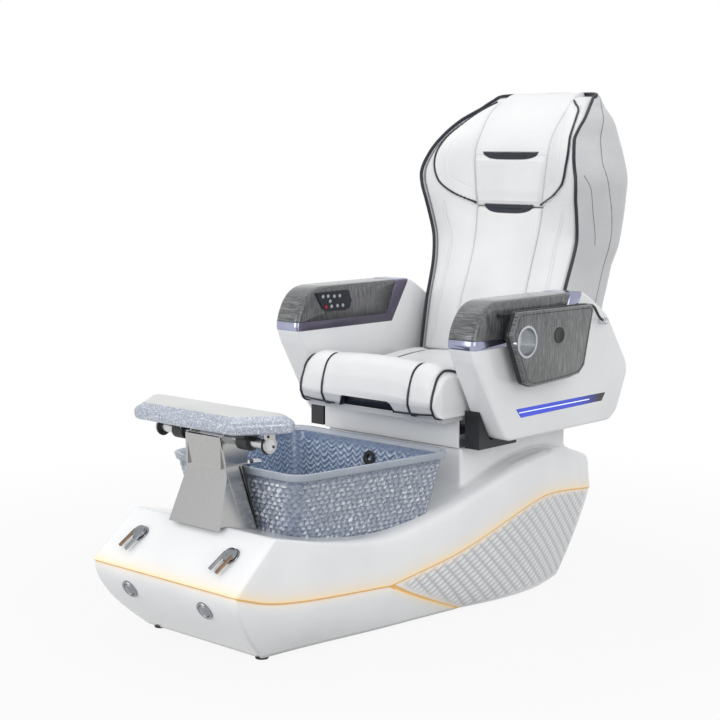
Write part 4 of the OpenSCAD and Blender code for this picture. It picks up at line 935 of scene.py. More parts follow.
lipLow = bowl["rimZ"] - bowl["lipH"]
inner = bowl["lip"] + bowl["wall"]
outerProfile = [(bowl["floorZ"], 30, 0), (bowl["floorZ"] + 6, 16, 0)]
outerProfile += [(mix(bowl["floorZ"] + 14, lipLow - 3, i / 90), bowl["lip"] + 1, clamp((90 - i) / 5))
                 for i in range(91)]
outerProfile += [(lipLow - 0.5, bowl["lip"] + 1, 0), (lipLow - 0.5, inner - 8, 0)]


def closeFloor(bm):
    bottom = [e for e in bm.edges if e.is_boundary and e.verts[0].co.z * 1000 < bowl["floorZ"] + 60]
    bmesh.ops.holes_fill(bm, edges=bottom, sides=0)
    return bm


addPiece("bowlOuter", closeFloor(bowlSkin(outerProfile, bowl["aroundOuter"], moonHeight, bowl["moonDeep"])),
                     crystalWall, "base", ["bowl"], sharp=60)
innerProfile = [(lipLow + 6, inner - 1, 0), (lipLow + 2, inner, 0)]
innerProfile += [(mix(lipLow, bowl["floorZ"] + bowl["wall"] + 16, i / 70), inner, clamp(i / 6))
                 for i in range(71)]
innerProfile += [(bowl["floorZ"] + bowl["wall"] + 5, 30, 0), (bowl["floorZ"] + bowl["wall"], 46, 0),
                 (bowl["floorZ"] + bowl["wall"], 110, 0)]


def makeInner():
    bm = closeFloor(bowlSkin(innerProfile, bowl["aroundInner"], chevronHeight, -bowl["waveDeep"]))
    bmesh.ops.recalc_face_normals(bm, faces=bm.faces)
    middle = at(0, 520, 330)
    up = sum(1 for f in bm.faces if f.normal.dot(middle - f.calc_center_median()) > 0)
    if up < len(bm.faces) / 2:
        bmesh.ops.reverse_faces(bm, faces=bm.faces)
    return bm


addPiece("bowlInner", makeInner(), crystalInner, "base", sharp=60, recalc=False)
# the clear lip: a closed ring with a rounded top
lipProfile = [(lipLow, 3), (lipLow + 1, 1), (lipLow + 4, 0), (bowl["rimZ"] - 4, 0),
              (bowl["rimZ"] - 1.2, 1.2), (bowl["rimZ"], 4), (bowl["rimZ"], inner - 9),
              (bowl["rimZ"] - 1.5, inner - 5), (bowl["rimZ"] - 8, inner - 1.5), (lipLow + 7, inner - 1.2),
              (lipLow + 7, 9), (lipLow, 9), (lipLow, 3)]
lipRings = [bowlOutline(z, inset, bowl["aroundLip"]) for z, inset in lipProfile]


def lipPlace(u, v):
    j, k = round(v * (len(lipProfile) - 1)), round(u * bowl["aroundLip"]) % bowl["aroundLip"]
    return at(lipRings[j][k][0], lipRings[j][k][1], lipProfile[j][0])


addPiece("bowlLip", skin(bowl["aroundLip"], len(lipProfile) - 1, lipPlace), crystalLip, "base")
print("bowl done")

# valves on the front panel
valve = {"x": 178, "y": 83, "hubR": 20, "prongX": 15, "prongL": 62, "prongW": 11, "turn": 12, "lift": 4.9}
panelSlope = math.atan((hull["panelZ"] - hull["panelLowZ"]) / hull["panelY"])


def onPanel(bm, side):
    # from the valve's own mm, in metres, to its place on the sloped panel
    spot = at(side * valve["x"], valve["y"], hull["panelLowZ"] + valve["y"] * math.tan(panelSlope))
    bmesh.ops.transform(bm, verts=bm.verts,
                        matrix=Matrix.Translation(spot) @ Matrix.Rotation(panelSlope, 4, "X"))
    return bm


def makeProng(x):
    bm = bmesh.new()
    bmesh.ops.create_cube(bm, size=1)
    bmesh.ops.scale(bm, verts=bm.verts, vec=(valve["prongW"] / 1000, valve["prongL"] / 1000, 0.006))
    soften(bm, 2.4, 4, 30)
    middle = Vector((x, -valve["prongL"] / 2, valve["lift"] + 6.5)) / 1000
    bmesh.ops.translate(bm, verts=bm.verts, vec=middle)
    turn = Matrix.Rotation(math.radians(-valve["turn"]), 4, "Z")
    bmesh.ops.transform(bm, verts=bm.verts, matrix=turn)
    return bm


def makeHub():
    r = valve["hubR"]
    bm = disc((0, noseY, 0), (0, 0, 1),
              [(0, 0), (r - 3, 0), (r, 1), (r, 5), (r - 1.5, 8), (r - 6, 9.5), (9, 9.8),
               (8, 8.6), (0, 8.2)])
    bmesh.ops.translate(bm, verts=bm.verts, vec=(0, 0, valve["lift"] / 1000))
    return bm


for side, name in ((1, "right"), (-1, "left")):
    lever = joined([makeHub(), makeProng(-valve["prongX"]), makeProng(valve["prongX"])])
    for face in lever.faces:
        spot = face.calc_center_median() * 1000
        if spot.y < -21 and spot.x * side > 0:
            face.material_index = 1
    addPiece("valveLever." + name, onPanel(lever, side), [satinChrome, bronzePlate], "lever_" + name,
             ["valve_lever_" + name], recalc=False)

# air buttons on the full lower front, with their bezels and the valves' plates
button = {"x": 150, "drop": 0.3, "bezelR": 26, "lensR": 18, "plateR": 24}
escutcheons = []
for side, name in ((1, "right"), (-1, "left")):
    spot, low, high = (lowerPoint((side * button["x"], 0, 0, 1), button["drop"] + d)
                       for d in (0, 0.03, -0.03))
    out = Vector((1, 0, 0)).cross(high - low)
    centre = spot * 1000 + Vector((0, noseY, 0))
    r, lens = button["bezelR"], button["lensR"]
    bezel = [(lens + 0.4, -3), (r - 2, -3), (r, -2), (r, 2.5), (r - 1.5, 4.5), (r - 4, 5.2),
             (lens + 1.5, 4.4), (lens + 0.4, 3), (lens + 0.4, -3)]
    dome = [(0, 7.4), (6, 7.1), (12, 6), (16, 4.2), (lens, 1.6), (lens, -2), (0, -2)]
    escutcheons.append(disc(centre, out, bezel, 48))
    addPiece("airButton." + name, disc(centre, out, dome, 48), satinChrome, "air_" + name,
             ["air_button_" + name])
    r = button["plateR"]
    plate = [(0, 4), (r - 3, 4), (r - 1, 3.4), (r, 2), (r, -1), (0, -1)]
    escutcheons.append(onPanel(disc((0, noseY, 0), (0, 0, 1), plate, 48), side))
addPiece("frontEscutcheons", joined(escutcheons), satinChrome, "base", ["front_escutcheons"])
print("valves done")

# footrest
rest = {
    "y": 190, "z": 553, "frontHalfW": 190, "halfW": 275, "depth": 152, "ahead": 112, "lift": 34.3,
    "hookX": 112, "hookR": 19, "boltX": 212, "washerX": 201,
    "layers": [(0, 14), (5, 3), (24, 0), (32, 6), (45, 34), (48, 46)], "round": 4,
}


def makeRestPad():
    frontY = rest["y"] - rest["ahead"]
    middleY = frontY + 0.84 * rest["depth"]
    outline = [(rest["frontHalfW"], frontY), (rest["frontHalfW"] + 10, frontY + 6),
               (rest["halfW"] - 4, middleY - 8), (rest["halfW"], middleY + 4),
               (rest["halfW"] - 8, frontY + rest["depth"] - 6),
               (rest["halfW"] - 20, frontY + rest["depth"])]
    outline += [(-x, y) for x, y in reversed(outline)]
    centreY = frontY + rest["depth"] / 2 + 8
    bm = bmesh.new()
    loops = []
    for height, inset in rest["layers"]:
        k = 1 - inset / 150
        ring = [bm.verts.new(at(x - math.copysign(inset * 0.7, x), centreY + (y - centreY) * k,
                                rest["z"] + rest["lift"] + height)) for x, y in outline]
        loops.append([bm.edges.new((a, b)) for a, b in zip(ring, ring[1:] + ring[:1])])
    for low, high in zip(loops, loops[1:]):
        bmesh.ops.bridge_loops(bm, edges=low + high)
    capEnds(bm)
    bmesh.ops.recalc_face_normals(bm, faces=bm.faces)
    top = rest["z"] + rest["lift"] + rest["layers"][-2][0]
    for face in bm.faces:
        if face.calc_center_median().z * 1000 > top:
            face.material_index = 1
    soften(bm, rest["round"], 4, 14)
    return bm


addPiece("footrestPad", makeRestPad(), [padGlitter, padPlateau], "footrest", ["footrest_pad"])
# the black gasket between the bracket's side plates and the bowl
gasketLines = [[at(side * 82, 214, 478), at(side * 91, 232, 386), at(side * 97, 249, 309)]
               for side in (-1, 1)]
gasket = joined([tube(line, 2.6, 8) for line in gasketLines])
addPiece("bracketGasket", gasket, rubberBlack, "base")


def hook(x):
    # U-shaped, under the crossbar, one beside each clamp
    y, z, r = rest["y"], rest["z"], rest["hookR"]
    turns = [math.radians(a) for a in range(0, 181, 20)]
    arch = [at(x, y - r + 2, z + 31), at(x, y - r, z + 7)]
    arch += [at(x, y - r * math.cos(a), z - r * math.sin(a)) for a in turns]
    return tube(arch + [at(x, y + r, z + 7), at(x, y + r - 2, z + 31)], 2.5, 8)


hooks = joined([hook(x) for x in (-rest["hookX"], rest["hookX"])])
addPiece("footrestHooks", hooks, chromePlate, "footrest")
ends = []
boltHead = [(0, 2.6), (2.2, 2.4), (3.8, 1.2), (4, 0), (4, -1), (0, -1)]
washer = [(14.3, 0), (24, 0), (25, 1), (25, 3), (14.3, 3), (14.3, 0)]
for side in (-1, 1):
    for y, z in ((182, 576), (200, 548)):
        ends.append(disc((side * rest["boltX"], y, z), (side, 0, 0), boltHead, 16))
    ends.append(disc((side * rest["washerX"], rest["y"], rest["z"]), (side, 0, 0), washer))
addPiece("footrestEndTrim", joined(ends), absBlack, "footrest")
print("footrest done")

# seat cushion
seat = {
    "halfW": 275, "frontY": 765, "rearY": 1278, "bottomZ": 550, "topZ": 698, "innerSeam": 168,
    "outerSeam": 255, "around": 140, "along": 120, "recessLow": 112, "recessHigh": 97, "recessH": 34,
    "recessD": 34, "linerWall": 2.5, "piping": 3.4, "groove": 6, "pillow": 5, "pillowX": 212, "crown": 6,
    "edgeDrop": 34,
}
seatTopKeys = [(0, 0.34), (0.015, 0.62), (0.05, 0.88), (0.12, 1.0), (0.3, 0.86), (0.55, 0.72), (0.8, 0.78),
               (0.95, 0.78), (1, 0.66)]
seatLowKeys = [(0, 0.22), (0.03, 0.04), (0.1, 0), (1, 0)]


def seatLow(s):
    return seat["bottomZ"] + (seat["topZ"] - seat["bottomZ"]) * max(0, along(seatLowKeys, s))


def seatTop(x, s):
    height = seat["topZ"] - seat["bottomZ"]
    f = abs(x) / seat["halfW"]
    z = seat["bottomZ"] + height * along(seatTopKeys, s)
    body = clamp((z - seatLow(s)) / (0.6 * height))
    groove = seat["groove"] * math.exp(-((abs(x) - seat["innerSeam"]) / 8) ** 2)
    pillow = seat["pillow"] * math.cos(math.pi * clamp((abs(x) - seat["pillowX"]) / 44, -1, 1) / 2) ** 2
    return z + seat["crown"] * max(0, 1 - (f / 0.6) ** 2) - body * (groove + seat["edgeDrop"] * f**9 - pillow)


def makeSeat():
    def place(u, v):
        s = 0.5 - 0.5 * math.cos(math.pi * v)
        y = mix(seat["frontY"], seat["rearY"], s)
        w = seat["halfW"] - 12 * (1 - s / 0.05 if s < 0.05 else (s - 0.95) / 0.05 if s > 0.95 else 0)
        low = seatLow(s)
        if u < 0.62:
            f = math.sin((2 * u / 0.62 - 1) * math.pi / 2)
            return at(w * f * (0.985 if abs(f) > 0.9 else 1), y, seatTop(w * f, s))
        if u < 0.72 or u > 0.9:
            k = (u - 0.62) / 0.1 if u < 0.72 else (1 - u) / 0.1
            side = 1 if u < 0.72 else -1
            # a thin roll above the bottom seam, then the plain gusset
            roll = 3 * math.sin(math.pi * clamp(k / 0.8)) + 3.5 * math.sin(math.pi * clamp((k - 0.8) / 0.2))
            return at(side * (w * 0.985 + roll), y, mix(seatTop(w, s), low, ease(k)))
        return at(w * 0.985 * (1 - 2 * (u - 0.72) / 0.18), y, low)
    return capEnds(skin(seat["around"], seat["along"], place))


def makeRecess():
    bm = block((-seat["recessLow"], seat["frontY"] - 8, seat["bottomZ"] - 12),
               (seat["recessLow"], seat["frontY"] + seat["recessD"], seat["bottomZ"] + seat["recessH"]))
    for v in bm.verts:
        if v.co.z * 1000 > seat["bottomZ"] + 5:
            v.co.x *= seat["recessHigh"] / seat["recessLow"]
    soften(bm, 11, 5, 30, lambda e: min(p.co.z for p in e.verts) * 1000 > seat["bottomZ"] + 5
           and abs(e.verts[0].co.x - e.verts[1].co.x) < 1e-4)
    return bm


seatCushion = addPiece("seatCushion", makeSeat(), whiteLeather, "seat", ["seat_cushion"],
                       sharp=70)
cutAway(seatCushion, makeRecess(), 50)


def makeLiner():
    # moulded pocket that lines the recess, open to the front
    bm = makeRecess()
    bmesh.ops.recalc_face_normals(bm, faces=bm.faces)
    front = [f for f in bm.faces if f.normal.y < -0.9 or f.normal.z < -0.9]
    bmesh.ops.delete(bm, geom=front, context="FACES")
    for spot, way in ((at(0, seat["frontY"] + 9, 0), (0, -1, 0)),
                      (at(0, 0, seat["bottomZ"] + 3), (0, 0, -1))):
        bmesh.ops.bisect_plane(bm, geom=wholeOf(bm), plane_co=spot, plane_no=way, clear_outer=True)
    return bm


liner = addPiece("seatHandle", makeLiner(), navyLeather, "seat", ["seat_handle"], recalc=False,
                 sharp=50)
shaped(liner, "SOLIDIFY", thickness=seat["linerWall"] / 1000, offset=-1)


def seatProfile(x):
    # from under the front, round the roll and back over the top
    line = []
    for i in range(12):
        s = 0.09 * (1 - i / 11) ** 2
        line.append(at(x, mix(seat["frontY"], seat["rearY"], s) - 1, seatLow(s) - 1))
    for i in range(1, 60):
        s = (i / 59) ** 1.8
        line.append(at(x, mix(seat["frontY"], seat["rearY"], s) - (1.5 if s < 0.01 else 0),
                       seatTop(x, s) + 1.6))
    return line


bottomSeam = [at(-262, 805, 557), at(-258, 785, 560), at(-245, 772, 562), at(-200, 767, 560),
              at(-118, 766, 558)]
seamPlaces = (-seat["outerSeam"], -seat["innerSeam"], seat["innerSeam"], seat["outerSeam"])
seatLines = [tube(seatProfile(x), seat["piping"], 8) for x in seamPlaces]
for line in (bottomSeam, otherSide(bottomSeam)):
    seatLines.append(tube(smoothLine(line, 30), seat["piping"] * 0.8, 8))
addPiece("seatPiping", joined(seatLines), navyLeather, "seat")
print("seat done")

# armrests
arm = {
    "innerX": 288, "outerX": 388, "bandLow": 751.3, "bandHigh": 776.7, "frontRound": 17, "round": 9,
    "outline": [(785, 751), (785, 777), (793, 805), (808, 835), (830, 860), (856, 875), (890, 881),
                (1286, 881), (1302, 875), (1330, 861), (1417, 805), (1522, 655), (1528, 620), (1476, 508),
                (1440, 482), (948, 482), (935, 488), (907, 529), (861, 610), (800, 715), (793, 735)],
    "rearCut": ((1205.5, 751.3), (1285, 881)), "woodCut": ((1180.3, 776.7), (1224.3, 881)),
    "lightBar": [(974, 570), (1412, 570), (1394, 546), (997, 543)],
    "lightCore": [(990, 559), (1330, 559), (1330, 556.6), (990, 556.6)],
    "shell": 4, "wall": 3, "proud": 0.7,
}


def softOutline(points, spacing=6, soft=2):
    # the closed outline at an even spacing with its corners eased: (y, z, inward y, inward z)
    closed = [Vector(p) for p in points] + [Vector(points[0])]
    even = []
    for a, b in zip(closed, closed[1:]):
        count = max(1, round((b - a).length / spacing))
        even += [a.lerp(b, i / count) for i in range(count)]
    n = len(even)
    eased = [sum((even[(i + k) % n] for k in range(-soft, soft + 1)), Vector((0, 0))) / (2 * soft + 1)
             for i in range(n)]
    result = []
    for i, p in enumerate(eased):
        way = (eased[(i + 2) % n] - eased[i - 2]).normalized()
        result.append((p.x, p.y, way.y, -way.x))
    return result


def armForm():
    rim = softOutline(arm["outline"])
    n = len(rim)
    stations = [0, 18, 36, 54, 72, 90]
    rows = [("in", a) for a in stations] + [("out", a) for a in reversed(stations)]
    def place(u, v):
        y, z, ny, nz = rim[round(u * n) % n]
        side, angle = rows[round(v * (len(rows) - 1))]
        a = math.radians(angle)
        r = mix(arm["frontRound"], arm["round"], ease((y - 800) / 160))
        depth = r * (1 - math.cos(a))
        x = arm["innerX"] + depth if side == "in" else arm["outerX"] - depth
        inset = r * (1 - math.sin(a))
        return at(x, y + ny * inset, z + nz * inset)
    bm = capEnds(skin(n, len(rows) - 1, place))
    bmesh.ops.recalc_face_normals(bm, faces=bm.faces)
    return bm


def keepSide(bm, line, ahead):
    # cuts along a (y, z) line; ahead keeps what is in front of it, or above a level one, else the rest stays
    (y0, z0), (y1, z1) = line
    normal = Vector((0, z1 - z0, y0 - y1)).normalized()
    bmesh.ops.bisect_plane(bm, geom=wholeOf(bm), plane_co=at(0, y0, z0), plane_no=normal,
                           clear_outer=ahead, clear_inner=not ahead)


bandLow, bandHigh = (((700, z), (1600, z)) for z in (arm["bandLow"], arm["bandHigh"]))
wholeArm = armForm()


def armPart(*cuts):
    # what the given cuts leave of a copy of the arm
    bm = wholeArm.copy()
    for line, ahead in cuts:
        keepSide(bm, line, ahead)
    return bm


def armParts(*parts):
    bm = joined(parts)
    bmesh.ops.remove_doubles(bm, verts=bm.verts, dist=1e-5)
    return bm


bodyForm = armParts(armPart((bandLow, False)), armPart((bandLow, True), (arm["rearCut"], False)))
bandForm = armParts(armPart((bandLow, True), (bandHigh, False), (arm["rearCut"], True)),
                    armPart((bandHigh, True), (arm["woodCut"], False), (arm["rearCut"], True)))
woodForm = armPart((bandHigh, True), (arm["woodCut"], True))
wholeArm.free()
for face in bandForm.faces:
    if face.normal.x < -0.8:
        face.material_index = 1

for side in ("right", "left"):
    form = bodyForm.copy()
    body = addPiece("armrest." + side, form if side == "right" else flipped(form), gelcoat, "seat",
                    ["armrest_" + side], recalc=False, sharp=50)
    shaped(body, "SOLIDIFY", thickness=arm["shell"] / 1000, offset=-1)
    pocket = slab(arm["lightBar"], arm["outerX"] - 3, arm["outerX"] + 4)
    cutAway(body, pocket if side == "right" else flipped(pocket), 50)
bodyForm.free()
armTops = addPiece("armTops", mirrored(woodForm), woodPrint, "seat", ["armrest_tops"],
                   recalc=False, sharp=50)
shaped(armTops, "SOLIDIFY", thickness=arm["wall"] / 1000, offset=-1)
armTrims = addPiece("armTrims", mirrored(bandForm), [lavenderChrome, mauveBand], "seat",
                    ["armrest_trims"], recalc=False, sharp=50)
bandWall = arm["wall"] + arm["proud"]
shaped(armTrims, "SOLIDIFY", thickness=bandWall / 1000, offset=-1 + 2 * arm["proud"] / bandWall)
core = slab(arm["lightCore"], arm["outerX"] - 1, arm["outerX"] - 0.2)
addPiece("lightBarCore", mirrored(core), coreLight, "seat")
print("armrests done")

# trays
tray = {
    "backX": 420, "woodX": 434, "faceX": 450, "chamfer": 5, "cupY": 940, "cupZ": 769, "cupR": 40.3,
    "badge": (1089, 775), "badgeR": 23, "rodX": 404, "rodZ": 842, "knuckles": (960, 1170), "knuckleL": 40,
    "knuckleR": 8, "pin": (886, 770), "knob": (1376, 788),
    "outline": [(905, 853), (1248, 850), (1257, 836), (1216, 677), (1190, 655), (1140, 648), (975, 640),
                (940, 652), (876, 790)],
}


def cupPlug():
    return disc((tray["faceX"] - 26.3, tray["cupY"], tray["cupZ"]), (1, 0, 0),
                [(0, 0), (tray["cupR"], 0), (tray["cupR"], 40), (0, 40)], 64)


def insetLine(distance, x):
    rim = softOutline(tray["outline"], 5, 2)
    line = [at(x, y + ny * distance, z + nz * distance) for y, z, ny, nz in rim]
    return line + [line[0]]


def trayWood():
    bm = slab(tray["outline"], tray["woodX"], tray["faceX"])
    soften(bm, tray["chamfer"], 3, 40, lambda e: min(v.co.x for v in e.verts) * 1000 > tray["faceX"] - 1)
    return bm


def trayBack():
    rim = softOutline(tray["outline"], 6, 1)
    plate = slab([(y - ny * 2.5, z - nz * 2.5) for y, z, ny, nz in rim], tray["backX"], tray["woodX"] + 1)
    soften(plate, 2, 2, 40)
    forms = [plate]
    r, length, x, z = tray["knuckleR"], tray["knuckleL"], tray["rodX"], tray["rodZ"]
    ring = [(4.1, 0), (r - 1, 0), (r, 1), (r, length - 1), (r - 1, length), (4.1, length), (4.1, 0)]
    for y in tray["knuckles"]:
        forms.append(disc((x, y, z), (0, 1, 0), ring, 32))
        web = block((x + 5, y + 1, z - 8), (tray["backX"] + 1, y + length - 1, z - 1))
        forms.append(soften(web, 1.5, 2))
    return joined(forms)


r = tray["badgeR"]
badge = [(0, 1.8), (r - 5, 1.9), (r - 3, 2.6), (r - 1, 2.4), (r, 1.2), (r, -1), (0, -1)]
pinProfile = [(0, 9), (3, 8.6), (4.4, 7), (4.6, 3), (3, 2), (3, -2), (0, -2)]
for side in ("right", "left"):
    turn = (lambda bm: bm) if side == "right" else flipped
    body = "tray_" + side[0]
    wood = addPiece("trayWood." + side, turn(trayWood()), woodPrint, body, ["tray_" + side],
                    recalc=False)
    cutAway(wood, turn(cupPlug()))
    backing = addPiece("trayBack." + side, turn(trayBack()), absBlack, body, recalc=False)
    cutAway(backing, turn(cupPlug()))
    lines = joined([tube(insetLine(9, tray["faceX"] + 0.1), 0.9, 6),
                    tube(insetLine(0.4, tray["woodX"]), 1.2, 6)])
    trim = joined([lines, disc((tray["faceX"], *tray["badge"]), (1, 0, 0), badge, 48)])
    addPiece("trayTrim." + side, turn(trim), absBlack, body, recalc=False)
    pin = disc((tray["faceX"] - 4, *tray["pin"]), (1, 0, 0), pinProfile, 24)
    addPiece("trayPin." + side, turn(pin), chromePlate, body, recalc=False)
knobProfile = [(0, 26), (6, 25.4), (10, 22), (11, 16), (9.5, 8), (11, 2), (11, 0), (0, 0)]
knobs = mirrored(disc((arm["outerX"], *tray["knob"]), (1, 0, 0), knobProfile))
addPiece("hingeKnobs", knobs, chromePlate, "seat", recalc=False)
print("trays done")

# backrest
back = {
    "topZ": 1466, "rearY": 1716, "lowZ": 640, "skin": 9, "cushionLow": 656, "neckZ": 1112, "bolsterTop": 1452,
    "boardY": 1400, "boardZ": 680, "lean": 11.8, "wing": 7, "centre": 5, "square": 4, "crest": 26,
    "slotDeep": 6, "slotLining": 3, "boardL": 640, "bolsterSeam": (205, 231), "edgeIn": 13,
}
topZ, rearY = back["topZ"], back["rearY"]
middleKeys = [(650, 1300), (790, 1329), (960, 1388), (1036, 1411), (1129, 1424), (1279, 1434), (1340, 1462),
              (1413, 1521), (topZ - 12, 1572)]
edgeYKeys = [(640, 1310), (820, 1350), (927, 1385), (1013, 1402), (1079, 1391), (1181, 1365), (1246, 1366),
             (1325, 1411), (1381, 1487), (1418, 1553), (1445, 1596), (topZ - 6, 1630), (topZ, 1646)]
edgeXKeys = [(640, 262), (820, 269), (927, 275), (1013, 286), (1141, 300), (1208, 307), (1287, 284),
             (1325, 267), (1381, 247), (1418, 218), (1445, 200), (topZ - 6, 180), (topZ, 150)]
rearKeys = [(640, rearY - 150), (764, rearY - 82), (826, rearY - 60), (886, rearY - 42), (963, rearY - 24),
            (1040, rearY - 10), (1133, rearY), (1242, rearY - 2), (1290, rearY - 4), (1340, rearY - 9),
            (1386, rearY - 22), (1410, rearY - 34), (1436, rearY - 48), (topZ, rearY - 60)]
seamXKeys = [(650, 126), (790, 124), (960, 120), (1129, 130), (1279, 144), (1340, 143), (1413, 146),
             (topZ, 130)]
# side seam of the shell as a share of its depth, by height
sideSeamKeys = [(640, 0.6), (1014, 0.57), (1076, 0.55), (1137, 0.51), (1205, 0.44), (1259, 0.40),
                (1379, 0.45), (1440, 0.5), (topZ, 0.55)]


def shellCorner(f):
    # a full box corner: share of the width and of the depth for f from 0, at the edge, to 1, mid rear
    if f < 0.45:
        depth = 0.8 * f / 0.45
        return (1 - depth**5) ** 0.2, depth
    if f < 0.6:
        a = math.radians(mix(34.9, 55.1, (f - 0.45) / 0.15))
        return math.cos(a) ** 0.4, math.sin(a) ** 0.4
    width = 0.8 * (1 - f) / 0.4
    return width, (1 - width**5) ** 0.2


def shellPointBack(u, v):
    z = mix(back["lowZ"], topZ, v)
    x, y0, y1 = along(edgeXKeys, z), along(edgeYKeys, z), along(rearKeys, z)
    f = 1 - abs(2 * u - 1)
    wide, deep = shellCorner(f)
    side = 1 if u < 0.5 else -1
    a = math.atan2(deep**2.5, max(1e-6, wide) ** 2.5)
    bulge = 10 * max(0, min(1, (z - 930) / 60, (1420 - z) / 90)) * math.sin(2 * a)
    # the leather is gathered a little along the side seam and the edge
    seam = deep - along(sideSeamKeys, z)
    groove = 2.2 * math.exp(-(seam / 0.022) ** 2) if wide > 0.5 else 0
    pucker = 0.7 * math.exp(-abs(seam) / 0.12) * noise.noise(Vector((z / 16, deep * 9, side)))
    puff = noise.noise(Vector((z / 120, deep * 2.2, 5 * side)))
    swell = 1.6 * puff * math.sin(math.pi * clamp(v * 1.02)) * ease(f * 8)
    return at(side * (x * wide + bulge - groove + pucker + swell), y0 + (y1 - y0) * deep, z)


backShell = addPiece("backShell", skin(150, 200, shellPointBack), shellLeather, "back",
                     ["back_shell"])
shaped(backShell, "SOLIDIFY", thickness=back["skin"] / 1000, offset=-1)


def boardFront(z):
    return back["boardY"] + (z - back["boardZ"]) * math.tan(math.radians(back["lean"]))


def cushionRear(z):
    boardTop = back["boardZ"] + back["boardL"] * math.cos(math.radians(back["lean"]))
    return min(boardFront(z) - 0.3 + 0.9 * max(0, z - boardTop - 4), along(rearKeys, z) - 17)


# the head pad's piping: (x, z) on the right, from the seam up to the crest
headPiping = [(128, 1122), (134, 1125), (193, 1151), (233, 1180), (249, 1207), (257, 1247), (256, 1282),
              (244, 1319), (223, 1362), (193, 1408), (163, 1431), (150, 1440)]
headLine = [p.xy for p in smoothLine([(x, z, 0) for x, z in headPiping], 66)]
neckSlots = [{"z": 1270, "halfW": 108, "height": 22}, {"z": 1106, "halfW": 95, "height": 26}]


def insideHead(ax, z):
    # how far, in mm, a place lies inside the head pad's piping
    if z < 1118 or z > 1446:
        return -20
    reach = min((Vector((ax, z)) - p).length for p in headLine)
    edge = max((p.x for p in headLine if abs(p.y - z) < 8), default=0)
    return reach if ax < edge else -reach


def slotFoot(slot, ax):
    # boat shape: level top edge, lower edge curving up to the ends
    return slot["z"] + slot["height"] * (0.5 - max(0, 1 - (ax / slot["halfW"]) ** 4) ** 0.6)


def slotShare(ax, z):
    for slot in neckSlots:
        edge = min(slot["z"] + slot["height"] / 2 - z, z - slotFoot(slot, min(ax, slot["halfW"])),
                   slot["halfW"] - ax)
        if edge > -3:
            return ease((edge + 3) / 3)
    return 0.0


def bolsterEdge(z):
    return max(along(seamXKeys, z) + 24, along(edgeXKeys, z) - back["edgeIn"])


def bolsterSeam(z):
    return mix(*back["bolsterSeam"], ease((z - 980) / 130))


def backFront(x, z):
    # y of the leather's front face
    ax, seam = abs(x), along(seamXKeys, z)
    middle = along(middleKeys, z)
    if ax <= seam:
        y = middle + 6 * (ax / seam) ** 2
        y -= back["centre"] * ease((z - 1128) / 40) * ease((1440 - z) / 50)
        # the square pad between the neck slots, with fine seams at their height
        square = ease((seam - 8 - ax) / 7) * ease((z - 1124) / 8) * ease((1262 - z) / 8)
        y -= back["square"] * square
        for slot in neckSlots:
            y += 2.0 * math.exp(-((z - slot["z"]) / 2.6) ** 2)
        return y + back["slotDeep"] * slotShare(ax, z)
    edge = bolsterEdge(z)
    t = clamp((ax - seam) / (edge - seam))
    y = mix(middle + 8, along(edgeYKeys, z) + 4, t) - 10 * (1 - (2 * t - 1) ** 2)
    inside = insideHead(ax, z)
    y -= back["wing"] * ease((inside + 3) / 9) * ease((1446 - z) / 30)
    y += 2.6 * math.exp(-(inside / 4) ** 2)
    # a stitched seam down the bolster and one inside the wing
    line = bolsterSeam(z) if z < 1125 else 999
    y += 2.2 * math.exp(-((ax - line) / 3.4) ** 2) + 1.4 * math.exp(-((inside - 38) / 3) ** 2)
    return y


def padRear(x, z):
    # the cushions' rear, kept inside the shell's rounded corners
    deep = max(0, 1 - min(1, abs(x) / along(edgeXKeys, z)) ** 5) ** 0.2
    return min(cushionRear(z), mix(along(edgeYKeys, z), along(rearKeys, z), deep) - 16)


def padSection(x0, x1, z0, z1, u, v, roll, crest):
    # one panel: front face, rolled edges, sides and a flat rear
    z = mix(z0, z1, v)
    a, b = x0(z), x1(z)
    w, cx = (b - a) / 2, (a + b) / 2
    low = roll * (1 - math.sqrt(max(0, 1 - (1 - clamp(v * (z1 - z0) / roll)) ** 2)))
    high = crest * (1 - math.sqrt(max(0, 1 - (1 - clamp((1 - v) * (z1 - z0) / crest)) ** 2)))
    sink = low + high
    if u < 0.76:
        f = math.sin((2 * u / 0.76 - 1) * math.pi / 2)
        x = cx + w * f
        fall = roll * (1 - math.sqrt(max(0, 1 - (1 - clamp(w * (1 - abs(f)) / roll)) ** 2)))
        return at(x, min(padRear(x, z), backFront(x, z) + fall + sink), z)
    k = (u - 0.76) / 0.24
    if 0.25 <= k < 0.75:
        x = mix(b, a, (k - 0.25) / 0.5)
        return at(x, padRear(x, z), z)
    x, share = (b, k / 0.25) if k < 0.25 else (a, (1 - k) / 0.25)
    rear = padRear(x, z)
    return at(x, mix(min(rear, backFront(x, z) + roll + sink), rear, share), z)


def seamIn(z):
    return along(seamXKeys, z) - 0.3


def makePad(x0, x1, z0, z1, across, up, crest):
    return capEnds(skin(across, up, lambda u, v: padSection(x0, x1, z0, z1, u, v, 11, crest)))


pads = {
    "backCushion": makePad(lambda z: -seamIn(z), seamIn, back["cushionLow"], back["neckZ"], 110, 120, 12),
    "headCushion": makePad(lambda z: -seamIn(z), seamIn, back["neckZ"] + 2, topZ, 130, 170, back["crest"]),
    "sideBolsters": mirrored(makePad(lambda z: along(seamXKeys, z) + 0.3, bolsterEdge, back["cushionLow"],
                                     back["bolsterTop"], 130, 300, 20)),
}
padNodes = {"backCushion": "back_cushion", "headCushion": "head_cushion", "sideBolsters": "side_bolsters"}
for name, form in pads.items():
    pad = addPiece(name, form, whiteLeather, "back", [padNodes[name]], sharp=70)


